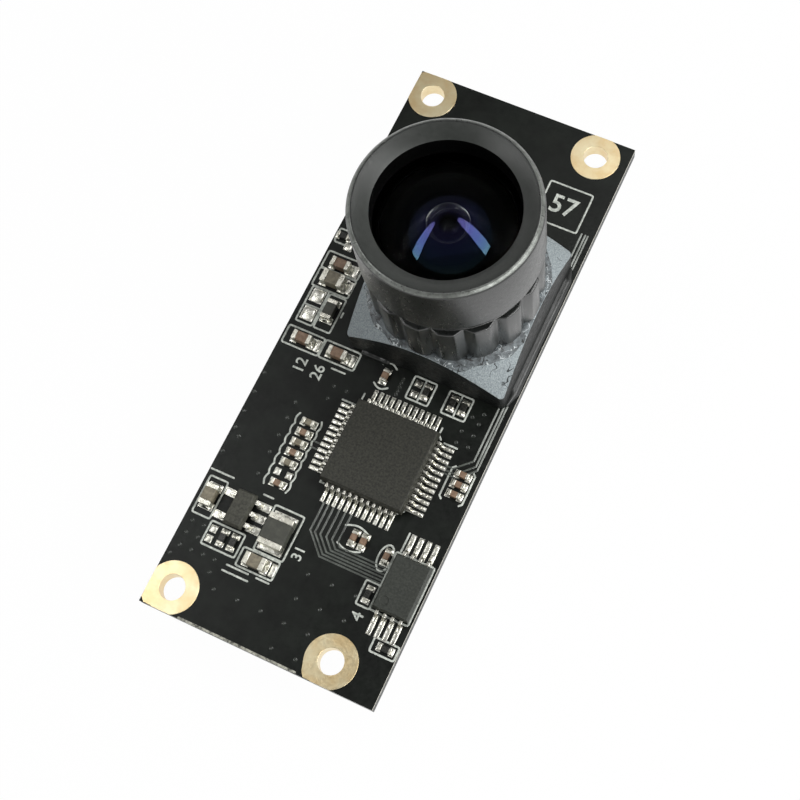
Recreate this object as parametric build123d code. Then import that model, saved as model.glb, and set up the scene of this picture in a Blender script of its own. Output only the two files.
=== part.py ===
from build123d import *
import os
from math import copysign, pi, sin, sqrt

# Camera module: a narrow circuit board with a square lens holder, a screw-in
# wide-angle lens glued at its focus, a controller, a memory chip, a regulator
# and their small parts. The cable connector and the clock crystal are underneath.
# Frame: origin at the centre of the board's underside, +Z out through the lens,
# +Y towards the board's lens end. All lengths are in millimetres.

# Circuit board
board_width = 19.5
board_thickness = 1.2
lens_to_upper_edge = 18.24
lens_to_controller = 14.06
controller_to_lower_edge = 17.2

# Plated mounting holes
hole_radius = 1.0
hole_plating = 0.05
hole_pad_radius = 2.05
left_hole_to_left_edge = 1.85
upper_hole_to_right_edge = 2.75
lower_hole_to_right_edge = 4.28
upper_hole_to_upper_edge = 1.9
lower_hole_to_lower_edge = 1.9

# Solder pads
pad_thickness = 0.05

# Lens holder
holder_width = 13.4
holder_to_right_edge = 0.64
holder_height = 5.15
holder_corner_radius = 0.4
holder_crown_inset = 0.1
holder_corner_height = 2.3
holder_wall = 1.4
holder_collar_wall = 0.7
sensor_pocket_depth = 1.7
light_port_width = 6.8
light_port_length = 5.8
holder_floor = 0.4
filter_clearance = 0.1
side_bead_to_edge = 0.04
side_bead_height = 0.55
front_bead_length = 2.6
front_bead_width = 0.35
front_bead_height = 0.4
front_bead_from_left = 1.0

# Image sensor and infrared filter
sensor_width = 8.6
sensor_height = 0.9
sensor_wall = 0.7
sensor_recess_depth = 0.5
die_width = 6.2
die_length = 4.6
die_thickness = 0.25
cover_glass_width = 8.0
cover_glass_thickness = 0.4
filter_width = 8.0
filter_thickness = 0.3

# Lens barrel: an M12 x 0.5 shank, a fluted grip, a neck and a wide front
thread_pitch = 0.5
thread_clearance = 0.03
adhesive_film = 0.12
shank_length = 2.35
grip_step = 0.7
grip_height = 5.13
flute_count = 16
flute_angle = 12.5
flute_depth = 0.45
flute_turn = 32.0
neck_step = 0.2
neck_height = 1.65
front_step = 0.84
front_wall = 0.44
front_height = 5.7
front_edge_bevel = 0.12
adhesive_overhang = 0.75
adhesive_lip = 0.25

# Front retaining ring with its dished face
ring_clearance = 0.02
ring_height = 2.4
ring_face_width = 1.12
dish_depth = 0.65

# Front lens
front_lens_rim = 1.9
front_lens_dome_gap = 0.05
front_lens_front_curve = 12.0
front_lens_back_curve = 6.2
front_lens_back_aperture = 3.7

# Second lens and the spacer ring over it
second_lens_radius = 4.55
second_lens_rim = 1.6
second_lens_back_curve = 5.2
second_lens_back_aperture = 2.2
front_spacer_height = 1.55
front_spacer_wall = 0.75
barrel_web = 0.6
barrel_web_opening_radius = 2.3

# Aperture stop in its recess
stop_radius = 3.15
stop_thickness = 0.1
stop_hole_radius = 0.9
stop_recess_depth = 0.7

# Rear lenses, their spacer and the rear retaining ring
rear_lens_radius = 4.0
third_lens_rim = 1.4
third_lens_curve = 9.6
third_lens_aperture = 3.0
rear_spacer_height = 0.8
rear_spacer_wall = 0.8
rear_lens_rim = 1.6
rear_lens_curve = -7.0
rear_lens_aperture = 2.9
rear_ring_height = 1.2
rear_ring_wall = 0.9
lens_clearance = 0.02
hidden_lens_runs = 2

# Controller: a square package with leads on four sides
controller_from_lens_x = -0.28
controller_width = 7.0
controller_height = 1.4
controller_standoff = 0.1
controller_lead_pitch = 0.5
controller_leads_per_side = 12
controller_lead_width = 0.22
controller_lead_span = 9.0
controller_pad_span = 9.74
controller_pad_width = 0.3
controller_pad_length = 1.55

# Memory chip: a small package with leads on two sides
memory_to_right_edge = 1.72
memory_to_lower_edge = 8.82
memory_width = 3.0
memory_length = 4.4
memory_height = 1.0
memory_standoff = 0.1
memory_lead_pitch = 0.65
memory_leads_per_side = 4
memory_lead_width = 0.25
memory_lead_span = 6.4
memory_pad_span = 8.12
memory_pad_width = 0.4
memory_pad_length = 1.6
dimple_radius = 0.35
dimple_depth = 0.06
dimple_from_corner = 0.75

# Voltage regulator: five leads on two sides
regulator_to_left_edge = 3.93
regulator_to_lower_edge = 9.2
regulator_width = 1.6
regulator_length = 2.9
regulator_height = 1.1
regulator_standoff = 0.08
regulator_lead_pitch = 0.95
regulator_lead_width = 0.4
regulator_lead_span = 2.8
regulator_pad_span = 3.95
regulator_pad_width = 0.6
regulator_pad_length = 1.1

# Gull-wing leads, shared by the three packages
lead_thickness = 0.13
lead_shoulder = 0.28
lead_foot = 0.5
package_draft = 0.14

# Power inductor
inductor_to_left_edge = 7.25
inductor_to_lower_edge = 8.75
inductor_width = 2.0
inductor_length = 2.5
inductor_height = 1.0
inductor_terminal = 0.45
inductor_pad_length = 1.1

# Two-terminal chips
tiny_chip_length = 1.0
tiny_chip_width = 0.5
tiny_chip_height = 0.5
tiny_chip_cap = 0.25
small_chip_length = 1.6
small_chip_width = 0.8
small_chip_height = 0.8
small_chip_cap = 0.35
medium_chip_length = 1.75
medium_chip_width = 1.0
medium_chip_height = 0.9
medium_chip_cap = 0.4
large_chip_length = 1.9
large_chip_width = 1.1
large_chip_height = 1.0
large_chip_cap = 0.45
tiny_resistor_height = 0.35
tiny_resistor_cap = 0.2
bead_chip_length = 1.7
bead_chip_width = 0.9
bead_chip_height = 0.7
chip_column_pitch = 0.88
chip_row_pitch = 0.82
end_cap_proud = 0.02
chip_pad_overhang = 0.2
chip_pad_side = 0.08

# Cable connector on the underside, open towards the lower edge
connector_to_lower_edge = 4.6
connector_width = 7.0
connector_depth = 4.3
connector_height = 3.4
connector_wall = 0.55
connector_back_wall = 0.9
connector_key_width = 2.4
connector_pin_count = 4
connector_pin_pitch = 1.25
connector_pin_width = 0.32
connector_tail_length = 1.3
connector_mouth_inset = 0.6
anchor_tab_width = 1.2
anchor_tab_length = 1.9
anchor_tab_thickness = 0.25
anchor_tab_height = 1.6

# Clock crystal on the underside
crystal_from_controller_y = 3.0
crystal_to_right_edge = 5.0
crystal_length = 3.2
crystal_width = 2.5
crystal_base_height = 0.45
crystal_lid_height = 0.3
crystal_lid_margin = 0.2

# Places worked out from the sizes above
board_length = lens_to_upper_edge + lens_to_controller + controller_to_lower_edge
left_edge = -board_width / 2
right_edge = board_width / 2
lower_edge = -board_length / 2
upper_edge = board_length / 2
top = board_thickness
pad_top = top + pad_thickness
lens_x = right_edge - holder_to_right_edge - holder_width / 2
lens_y = upper_edge - lens_to_upper_edge
controller_x = lens_x + controller_from_lens_x
controller_y = lens_y - lens_to_controller
memory_x = right_edge - memory_to_right_edge
memory_y = lower_edge + memory_to_lower_edge
regulator_x = left_edge + regulator_to_left_edge
regulator_y = lower_edge + regulator_to_lower_edge
inductor_x = left_edge + inductor_to_left_edge
inductor_y = lower_edge + inductor_to_lower_edge
upper_hole_y = upper_edge - upper_hole_to_upper_edge
lower_hole_y = lower_edge + lower_hole_to_lower_edge
left_hole_x = left_edge + left_hole_to_left_edge
hole_places = [
    (left_hole_x, upper_hole_y),
    (right_edge - upper_hole_to_right_edge, upper_hole_y),
    (left_hole_x, lower_hole_y),
    (right_edge - lower_hole_to_right_edge, lower_hole_y),
]
holder_top = top + holder_height
holder_crown_radius = holder_width / 2 - holder_crown_inset
holder_corner_reach = holder_width / sqrt(2) - holder_corner_radius * (sqrt(2) - 1)
holder_slope = (holder_corner_reach - holder_crown_radius) / (holder_height - holder_corner_height)
sensor_pocket_width = holder_width - 2 * holder_wall
filter_seat = top + sensor_pocket_depth + holder_floor
grip_bottom = holder_top + adhesive_film
shank_bottom = grip_bottom - shank_length
grip_top = grip_bottom + grip_height
neck_top = grip_top + neck_height
barrel_front = neck_top + front_height
thread_diameter = holder_width - 2 * holder_collar_wall
thread_radius = (thread_diameter - 0.6495 * thread_pitch) / 2
grip_radius = thread_diameter / 2 + grip_step
neck_radius = thread_diameter / 2 + neck_step
front_radius = thread_diameter / 2 + front_step
ring_radius = front_radius - front_wall
ring_opening_radius = ring_radius - ring_face_width
front_lens_seat = barrel_front - ring_height - front_lens_rim
web_top = front_lens_seat - front_spacer_height - second_lens_rim
web_bottom = web_top - barrel_web
rear_seat = web_bottom - stop_recess_depth
rear_spacer_top = rear_seat - third_lens_rim
rear_lens_top = rear_spacer_top - rear_spacer_height
rear_ring_top = rear_lens_top - rear_lens_rim


def before_holder(x, y):
    """Place measured from the lens axis, and from the holder's front wall."""
    return lens_x + x, lens_y - holder_width / 2 - y


def row_before_holder(x, y):
    """Place measured from the left edge, and from the holder's front wall."""
    return left_edge + x, lens_y - holder_width / 2 - y


def from_left(x, y):
    """Place measured from the left edge, and along the board from the lens axis."""
    return left_edge + x, lens_y + y


def from_controller(x, y):
    """Place measured from the controller's centre."""
    return controller_x + x, controller_y + y


def column_place(index):
    """Place in the column of chips left of the controller, counted from its upper end."""
    return from_controller(-6.43, 0.3 - index * chip_column_pitch)


def from_column(index, x):
    """Place beside the middle of one chip of that column."""
    column_x, y = column_place(index)
    return column_x + x, y


def row_place(index):
    """Place in the short column of chips right of the controller, counted from its upper end."""
    return from_controller(6.32, 1.3 - index * chip_row_pitch)


def from_lower_left(x, y):
    """Place measured from the board's lower left corner."""
    return left_edge + x, lower_edge + y


def from_lower_right(x, y):
    """Place measured from the board's lower right corner, x towards the left."""
    return right_edge - x, lower_edge + y


# Length, width, height and end cap of each size of chip
tiny_chip = (tiny_chip_length, tiny_chip_width, tiny_chip_height, tiny_chip_cap)
small_chip = (small_chip_length, small_chip_width, small_chip_height, small_chip_cap)
medium_chip = (medium_chip_length, medium_chip_width, medium_chip_height, medium_chip_cap)
large_chip = (large_chip_length, large_chip_width, large_chip_height, large_chip_cap)
tiny_resistor = (tiny_chip_length, tiny_chip_width, tiny_resistor_height, tiny_resistor_cap)
bead_chip = (bead_chip_length, bead_chip_width, bead_chip_height, small_chip_cap)

# Two-terminal chips by kind: centre, and turn about Z in degrees
brown_capacitors = [
    (from_left(1.82, -0.86), 0, small_chip),
    (row_before_holder(1.85, 1.06), 0, small_chip),
    (row_before_holder(5.0, 1.11), 0, small_chip),
    (before_holder(-2.95, 1.21), 90, tiny_chip),
    (row_place(0), 0, tiny_chip),
    (row_place(1), 0, tiny_chip),
    (row_place(2), 0, tiny_chip),
    (column_place(1), 0, tiny_chip),
    (column_place(3), 0, tiny_chip),
    (column_place(6), 0, tiny_chip),
    (from_lower_right(6.8, 10.8), 90, tiny_chip),
    (from_lower_right(6.0, 10.8), 90, tiny_chip),
    (from_lower_right(3.9, 10.5), 90, tiny_chip),
]
beige_capacitors = [
    (from_left(1.89, -2.31), 0, large_chip),
    (column_place(0), 0, tiny_chip),
    (column_place(2), 0, tiny_chip),
    (column_place(4), 0, tiny_chip),
    (from_lower_left(1.18, 9.25), 90, medium_chip),
    (from_lower_left(6.8, 6.1), 0, medium_chip),
]
resistors = [
    (from_left(0.8, 1.61), 0, tiny_resistor),
    (before_holder(0.57, 1.11), 90, tiny_resistor),
    (before_holder(2.84, 1.11), 90, tiny_resistor),
    (before_holder(3.79, 1.11), 90, tiny_resistor),
    (from_lower_right(3.95, 7.4), 90, tiny_resistor),
    (from_lower_right(1.0, 4.3), 0, tiny_resistor),
    (from_lower_left(3.55, 6.75), 90, tiny_resistor),
    (from_lower_left(4.45, 6.75), 90, tiny_resistor),
]
ferrite_beads = [(from_left(2.75, -4.71), 90, bead_chip)]

# Pads that carry no part: centre, width and length
bare_pads = [
    (from_left(1.2, -3.91), 1.1, 1.15),
    (from_left(1.2, -5.56), 1.1, 1.15),
    (from_left(1.55, 0.89), 0.7, 0.6),
    (from_left(3.1, -0.86), 0.5, 1.0),
    (from_left(3.3, -2.31), 0.45, 1.1),
    (row_before_holder(3.13, 1.06), 0.5, 1.0),
    (row_before_holder(6.28, 1.11), 0.5, 1.0),
    (before_holder(-0.26, 0.71), 0.6, 0.55),
    (before_holder(-0.26, 1.61), 0.6, 0.55),
    (from_column(5, -0.5), 0.5, 0.55),
    (from_column(5, 0.5), 0.5, 0.55),
    (from_lower_left(2.6, 7.1), 0.55, 0.55),
    (from_lower_left(2.6, 6.3), 0.55, 0.55),
    (from_lower_left(8.2, 6.1), 0.45, 1.0),
]

# Load capacitors beside the crystal, on the underside
underside_capacitors = [
    (from_controller(-6.88, 5.4), 0, tiny_chip),
    (from_controller(-6.88, 0.6), 0, tiny_chip),
]


# Solids are centred on X and Y and stand on their lowest face
standing = (Align.CENTER, Align.CENTER, Align.MIN)


def block(x, y, z, width, length, height):
    """Upright box standing on z, centred on x and y."""
    return Pos(x, y, z) * Box(width, length, height, align=standing)


def disc(x, y, z, radius, height):
    """Upright cylinder standing on z, centred on x and y."""
    return Pos(x, y, z) * Cylinder(radius, height, align=standing)


def turned(points):
    """Solid turned about the lens axis from a closed outline of radius and height."""
    outline = make_face(Polyline(*[(radius, height) for radius, height in points], close=True))
    return Pos(lens_x, lens_y, 0) * revolve(Plane.XZ * outline, Axis.Z)


def sag(curve, radius):
    """Drop of a lens face at a radius below its vertex; a negative curve rises."""
    return curve - copysign(sqrt(curve**2 - radius**2), curve)


def ground_face(rim_level, radius, face, hidden):
    """Vertex height and outline of one lens face and its flat rim; a positive curve bulges upwards.

    The face is one arc, or straight runs between points of that arc where it is hidden.
    """
    if face is None:
        return rim_level, [Line((0, rim_level), (radius, rim_level))]
    curve, aperture = face
    vertex = rim_level + sag(curve, aperture)
    rim_edge = Line((aperture, rim_level), (radius, rim_level))
    if not hidden:
        middle = (aperture / 2, vertex - sag(curve, aperture / 2))
        return vertex, [ThreePointArc((0, vertex), middle, (aperture, rim_level)), rim_edge]
    radii = [aperture * step / hidden_lens_runs for step in range(hidden_lens_runs + 1)]
    points = [(reach, vertex - sag(curve, reach)) for reach in radii]
    return vertex, [Line(start, end) for start, end in zip(points, points[1:])] + [rim_edge]


def lens_element(radius, rim_top, rim, front=None, back=None, hidden=True):
    """Lens turned about the lens axis; each face is its curve and aperture, or None where it is flat."""
    rim_bottom = rim_top - rim
    front_vertex, front_edges = ground_face(rim_top, radius, front, hidden)
    back_vertex, back_edges = ground_face(rim_bottom, radius, back, hidden)
    edge = Line((radius, rim_top), (radius, rim_bottom))
    axis = Line((0, back_vertex), (0, front_vertex))
    outline = make_face(front_edges + [edge] + back_edges + [axis])
    return Pos(lens_x, lens_y, 0) * revolve(Plane.XZ * outline, Axis.Z)


def ring(outer_radius, inner_radius, bottom, height):
    """Plain ring round the lens axis."""
    hole = disc(lens_x, lens_y, bottom, inner_radius, height)
    return disc(lens_x, lens_y, bottom, outer_radius, height) - hole


def circuit_board():
    """Board with its drilled holes."""
    board = block(0, 0, 0, board_width, board_length, board_thickness)
    for x, y in hole_places:
        board -= disc(x, y, 0, hole_radius + hole_plating, board_thickness)
    return board


def hole_platings():
    """Gold-plated barrel of each hole with a pad on both faces, cut by the board's edges."""
    platings = []
    for x, y in hole_places:
        pad = Pos(x, y, 0) * Circle(hole_pad_radius) & Rectangle(board_width, board_length)
        plating = Pos(0, 0, top) * extrude(pad, hole_plating)
        plating += Pos(0, 0, -hole_plating) * extrude(pad, hole_plating)
        plating += disc(x, y, -hole_plating, hole_radius + hole_plating, top + 2 * hole_plating)
        platings.append(plating - disc(x, y, -hole_plating, hole_radius, top + 2 * hole_plating))
    return platings


def lens_holder():
    """Square housing whose corners are turned down to a cone round the threaded collar."""
    square = Pos(lens_x, lens_y, top) * RectangleRounded(holder_width, holder_width, holder_corner_radius)
    foot_radius = holder_crown_radius + holder_slope * holder_height
    cone = Cone(foot_radius, holder_crown_radius, holder_height, align=standing)
    holder = extrude(square, holder_height) & Pos(lens_x, lens_y, top) * cone
    holder -= block(lens_x, lens_y, top, sensor_pocket_width, sensor_pocket_width, sensor_pocket_depth)
    holder -= block(lens_x, lens_y, top, light_port_width, light_port_length, holder_height)
    filter_pocket = filter_width + 2 * filter_clearance
    holder -= block(lens_x, lens_y, filter_seat, filter_pocket, filter_pocket, filter_thickness)
    bore_bottom = filter_seat + filter_thickness
    bore_radius = thread_radius + thread_clearance
    return holder - disc(lens_x, lens_y, bore_bottom, bore_radius, holder_top - bore_bottom)


def holder_beads():
    """Bead of glue along the holder's right wall and a short one at its front wall."""
    side_x = lens_x + holder_width / 2
    bead_reach = holder_to_right_edge - side_bead_to_edge
    side_outline = Plane.XZ * make_face(Polyline((0, 0), (bead_reach, 0), (0, side_bead_height), close=True))
    straight_length = holder_width - 2 * holder_corner_radius
    side_start = lens_y + straight_length / 2
    side_bead = Pos(side_x, side_start, top) * extrude(side_outline, straight_length)
    front_outline = Plane.YZ * make_face(
        Polyline((0, 0), (-front_bead_width, 0), (0, front_bead_height), close=True)
    )
    front_x = lens_x - holder_width / 2 + front_bead_from_left
    front_bead = Pos(front_x, lens_y - holder_width / 2, top) * extrude(front_outline, front_bead_length)
    return [side_bead, front_bead]


def adhesive_ring():
    """Film under the grip that runs down the holder's cone at its four corners."""
    drop = adhesive_overhang / holder_slope
    inner_radius = thread_radius + thread_clearance
    bead = turned(
        [
            (inner_radius, holder_top),
            (inner_radius, grip_bottom),
            (holder_crown_radius + adhesive_lip, grip_bottom),
            (holder_crown_radius + adhesive_overhang, holder_top - drop),
            (holder_crown_radius, holder_top),
        ]
    )
    return bead & block(lens_x, lens_y, top, holder_width, holder_width, grip_bottom - top)


def lens_barrel():
    """One turned piece, bored in steps from both ends, with flutes milled into its grip."""
    opening = ring_radius + ring_clearance
    second_bore = second_lens_radius + lens_clearance
    rear_bore = rear_lens_radius + lens_clearance
    stop_bore = stop_radius + lens_clearance
    barrel = turned(
        [
            (opening, barrel_front),
            (front_radius - front_edge_bevel, barrel_front),
            (front_radius, barrel_front - front_edge_bevel),
            (front_radius, neck_top),
            (neck_radius, neck_top),
            (neck_radius, grip_top),
            (grip_radius, grip_top),
            (grip_radius, grip_bottom),
            (thread_radius, grip_bottom),
            (thread_radius, shank_bottom),
            (rear_bore, shank_bottom),
            (rear_bore, rear_seat),
            (stop_bore, rear_seat),
            (stop_bore, web_bottom),
            (barrel_web_opening_radius, web_bottom),
            (barrel_web_opening_radius, web_top),
            (second_bore, web_top),
            (second_bore, front_lens_seat),
            (opening, front_lens_seat),
        ]
    )
    half_mouth = grip_radius * sin(flute_angle * pi / 360)
    reach = 2 * flute_depth
    flare = half_mouth * reach / flute_depth
    notch = make_face(
        Polyline(
            (grip_radius - flute_depth, 0),
            (grip_radius - flute_depth + reach, flare),
            (grip_radius - flute_depth + reach, -flare),
            close=True,
        )
    )
    flute = extrude(notch, grip_height)
    for index in range(flute_count):
        turn = flute_turn - 90 + index * 360 / flute_count
        barrel -= Pos(lens_x, lens_y, grip_bottom) * Rot(0, 0, turn) * flute
    return barrel


def front_retaining_ring():
    """Threaded ring with a dished face round the front lens."""
    return turned(
        [
            (ring_radius, barrel_front),
            (ring_radius, barrel_front - ring_height),
            (ring_opening_radius, barrel_front - ring_height),
            (ring_opening_radius, barrel_front - dish_depth),
        ]
    )


def front_lens():
    """Meniscus lens that fills the ring's opening."""
    dome = (front_lens_front_curve, ring_opening_radius - front_lens_dome_gap)
    hollow = (front_lens_back_curve, front_lens_back_aperture)
    rim_top = front_lens_seat + front_lens_rim
    return lens_element(ring_radius, rim_top, front_lens_rim, dome, hollow, hidden=False)


def second_lens():
    """Lens with a flat front and a hollow back, seated on the barrel's web."""
    hollow = (second_lens_back_curve, second_lens_back_aperture)
    return lens_element(second_lens_radius, web_top + second_lens_rim, second_lens_rim, back=hollow)


def third_lens():
    """Lens that bulges into the recess of the aperture stop, with a flat back."""
    bulge = (third_lens_curve, third_lens_aperture)
    return lens_element(rear_lens_radius, rear_seat, third_lens_rim, front=bulge)


def rear_lens():
    """Rearmost lens with a bulging back, held by the rear retaining ring."""
    bulge = (rear_lens_curve, rear_lens_aperture)
    return lens_element(rear_lens_radius, rear_lens_top, rear_lens_rim, back=bulge)


def sensor_package():
    """Ceramic tray of the image sensor."""
    tray = block(lens_x, lens_y, top, sensor_width, sensor_width, sensor_height)
    recess_width = sensor_width - 2 * sensor_wall
    recess_floor = top + sensor_height - sensor_recess_depth
    return tray - block(lens_x, lens_y, recess_floor, recess_width, recess_width, sensor_recess_depth)


def moulded_body(x, y, standoff, width, length, height):
    """Moulded package with drafted sides that meet at the parting line."""
    bottom = pad_top + standoff
    middle = bottom + height / 2
    parting = Pos(x, y, middle) * Rectangle(width, length)
    upper = Pos(x, y, bottom + height) * Rectangle(width - 2 * package_draft, length - 2 * package_draft)
    lower = Pos(x, y, bottom) * Rectangle(width - 2 * package_draft, length - 2 * package_draft)
    return loft([parting, upper]) + loft([lower, parting])


def gull_wing_lead(x, y, turn, package_width, standoff, package_height, lead_span, lead_width):
    """Lead bent from the package's side down to the pad; turn 0 points along +X."""
    exit_height = pad_top + standoff + package_height / 2
    foot_height = pad_top + lead_thickness / 2
    path = Polyline(
        (package_width / 2, exit_height),
        (package_width / 2 + lead_shoulder, exit_height),
        (lead_span / 2 - lead_foot, foot_height),
        (lead_span / 2, foot_height),
    )
    profile = Plane.XZ * trace(path, lead_thickness)
    lead = Pos(0, lead_width / 2, 0) * extrude(profile, lead_width)
    return Pos(x, y, 0) * Rot(0, 0, turn) * lead


def lead_places(count, pitch):
    """Distances of the leads along one side, about its middle."""
    return [(index - (count - 1) / 2) * pitch for index in range(count)]


def flat_pad(x, y, width, length):
    """Solder pad on the board's upper face."""
    return block(x, y, top, width, length, pad_thickness)


def controller_leads():
    """Leads on the four sides of the controller."""
    leads = []
    for turn in (0, 90, 180, 270):
        for along in lead_places(controller_leads_per_side, controller_lead_pitch):
            lead = gull_wing_lead(
                0, along, 0, controller_width, controller_standoff, controller_height,
                controller_lead_span, controller_lead_width,
            )
            leads.append(Pos(controller_x, controller_y, 0) * Rot(0, 0, turn) * lead)
    return leads


def memory_body():
    """Memory package with its index dimple."""
    body = moulded_body(memory_x, memory_y, memory_standoff, memory_width, memory_length, memory_height)
    body_top = pad_top + memory_standoff + memory_height
    dimple_x = memory_x - memory_width / 2 + dimple_from_corner
    dimple_y = memory_y - memory_length / 2 + dimple_from_corner
    return body - disc(dimple_x, dimple_y, body_top - dimple_depth, dimple_radius, dimple_depth)


def memory_leads():
    """Leads on the two ends of the memory chip."""
    leads = []
    for turn in (90, 270):
        for along in lead_places(memory_leads_per_side, memory_lead_pitch):
            lead = gull_wing_lead(
                0, along, 0, memory_length, memory_standoff, memory_height,
                memory_lead_span, memory_lead_width,
            )
            leads.append(Pos(memory_x, memory_y, 0) * Rot(0, 0, turn) * lead)
    return leads


def regulator_rows():
    """Turn and distance along the side of each regulator lead: two left, three right."""
    left = [(180, along) for along in (-regulator_lead_pitch, regulator_lead_pitch)]
    right = [(0, along) for along in (-regulator_lead_pitch, 0, regulator_lead_pitch)]
    return left + right


def regulator_leads():
    """Five leads of the regulator."""
    leads = []
    for turn, along in regulator_rows():
        lead = gull_wing_lead(
            0, along, 0, regulator_width, regulator_standoff, regulator_height,
            regulator_lead_span, regulator_lead_width,
        )
        leads.append(Pos(regulator_x, regulator_y, 0) * Rot(0, 0, turn) * lead)
    return leads


def package_pads():
    """Pads under the leads of the three packages."""
    pads = []
    controller_reach = (controller_pad_span - controller_pad_length) / 2
    for turn in (0, 90, 180, 270):
        for along in lead_places(controller_leads_per_side, controller_lead_pitch):
            pad = flat_pad(controller_reach, along, controller_pad_length, controller_pad_width)
            pads.append(Pos(controller_x, controller_y, 0) * Rot(0, 0, turn) * pad)
    memory_reach = (memory_pad_span - memory_pad_length) / 2
    for turn in (90, 270):
        for along in lead_places(memory_leads_per_side, memory_lead_pitch):
            pad = flat_pad(memory_reach, along, memory_pad_length, memory_pad_width)
            pads.append(Pos(memory_x, memory_y, 0) * Rot(0, 0, turn) * pad)
    regulator_reach = (regulator_pad_span - regulator_pad_length) / 2
    for turn, along in regulator_rows():
        pad = flat_pad(regulator_reach, along, regulator_pad_length, regulator_pad_width)
        pads.append(Pos(regulator_x, regulator_y, 0) * Rot(0, 0, turn) * pad)
    for side in (1, -1):
        reach = side * (inductor_length - inductor_terminal) / 2
        pads.append(flat_pad(inductor_x, inductor_y + reach, inductor_width, inductor_pad_length))
    return pads


def chip_pads(chips):
    """Two pads under each two-terminal chip, a little larger than its end caps."""
    pads = []
    for (x, y), turn, (length, width, height, cap) in chips:
        for side in (1, -1):
            reach = side * (length / 2 - cap / 2 + chip_pad_overhang / 2)
            pad = flat_pad(reach, 0, cap + chip_pad_overhang, width + 2 * chip_pad_side)
            pads.append(Pos(x, y, 0) * Rot(0, 0, turn) * pad)
    return pads


def chip_bodies(chips):
    """Ceramic bodies between the end caps."""
    bodies = []
    for (x, y), turn, (length, width, height, cap) in chips:
        body_width = width - 2 * end_cap_proud
        body_height = height - 2 * end_cap_proud
        body = block(0, 0, pad_top + end_cap_proud, length - 2 * cap, body_width, body_height)
        bodies.append(Pos(x, y, 0) * Rot(0, 0, turn) * body)
    return bodies


def chip_end_caps(chips):
    """Two metal end caps of each chip."""
    caps = []
    for (x, y), turn, (length, width, height, cap) in chips:
        for side in (1, -1):
            end = block(side * (length - cap) / 2, 0, pad_top, cap, width, height)
            caps.append(Pos(x, y, 0) * Rot(0, 0, turn) * end)
    return caps


def underside(solids):
    """The same solids turned over about the Y axis onto the board's underside."""
    return [Pos(0, 0, board_thickness) * Rot(0, 180, 0) * solid for solid in solids]


def inductor_core():
    """Ferrite block between the inductor's terminals."""
    core_length = inductor_length - 2 * inductor_terminal
    return block(inductor_x, inductor_y, pad_top, inductor_width, core_length, inductor_height)


def inductor_terminals():
    """Metal terminals at the two ends of the inductor."""
    reach = (inductor_length - inductor_terminal) / 2
    middle = block(inductor_x, inductor_y, pad_top, inductor_width, inductor_terminal, inductor_height)
    return [Pos(0, side * reach, 0) * middle for side in (1, -1)]


connector_mouth_y = lower_edge + connector_to_lower_edge
connector_y = connector_mouth_y + connector_depth / 2
connector_rear_y = connector_mouth_y + connector_depth
cavity_depth = connector_depth - connector_back_wall
cavity_width = connector_width - 2 * connector_wall
cavity_height = connector_height - 2 * connector_wall
connector_pin_bottom = -(connector_height + connector_pin_width) / 2


def connector_housing():
    """Shrouded housing, open at its mouth, with a key slot in the wall away from the board."""
    housing = block(0, connector_y, -connector_height, connector_width, connector_depth, connector_height)
    cavity_y = connector_mouth_y + cavity_depth / 2
    cavity_floor = -connector_height + connector_wall
    housing -= block(0, cavity_y, cavity_floor, cavity_width, cavity_depth, cavity_height)
    slot_depth = cavity_depth - connector_mouth_inset
    slot_y = connector_mouth_y + slot_depth / 2
    housing -= block(0, slot_y, -connector_height, connector_key_width, slot_depth, connector_wall)
    hole_y = connector_rear_y - connector_back_wall / 2
    pin_width = connector_pin_width
    for x in lead_places(connector_pin_count, connector_pin_pitch):
        housing -= block(x, hole_y, connector_pin_bottom, pin_width, connector_back_wall, pin_width)
    return housing


def connector_contacts():
    """Pins through the rear wall, bent down to their tails on the board's underside."""
    width = connector_pin_width
    bottom = connector_pin_bottom
    pin_start = connector_mouth_y + connector_mouth_inset
    pin_length = connector_rear_y + width - pin_start
    tail_y = connector_rear_y + connector_tail_length / 2
    contacts = []
    for x in lead_places(connector_pin_count, connector_pin_pitch):
        pin = block(x, pin_start + pin_length / 2, bottom, width, pin_length, width)
        post = block(x, connector_rear_y + width / 2, bottom, width, width, -bottom)
        tail = block(x, tail_y, -width, width, connector_tail_length, width)
        contacts.append(pin + post + tail)
    return contacts


def connector_anchor_tabs():
    """Angle tabs soldered beside the housing."""
    thickness = anchor_tab_thickness
    height = anchor_tab_height
    tabs = []
    for side in (1, -1):
        wall_x = side * (connector_width + thickness) / 2
        upright = block(wall_x, connector_y, -height, thickness, anchor_tab_length, height)
        foot_x = side * (connector_width + anchor_tab_width) / 2
        foot = block(foot_x, connector_y, -thickness, anchor_tab_width, anchor_tab_length, thickness)
        tabs.append(upright + foot)
    return tabs


def crystal_parts():
    """Ceramic base and metal lid of the clock crystal on the underside."""
    x = right_edge - crystal_to_right_edge
    y = controller_y + crystal_from_controller_y
    base = block(x, y, -crystal_base_height, crystal_length, crystal_width, crystal_base_height)
    lid = block(
        x, y, -crystal_base_height - crystal_lid_height,
        crystal_length - 2 * crystal_lid_margin, crystal_width - 2 * crystal_lid_margin, crystal_lid_height,
    )
    return base, lid


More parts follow.
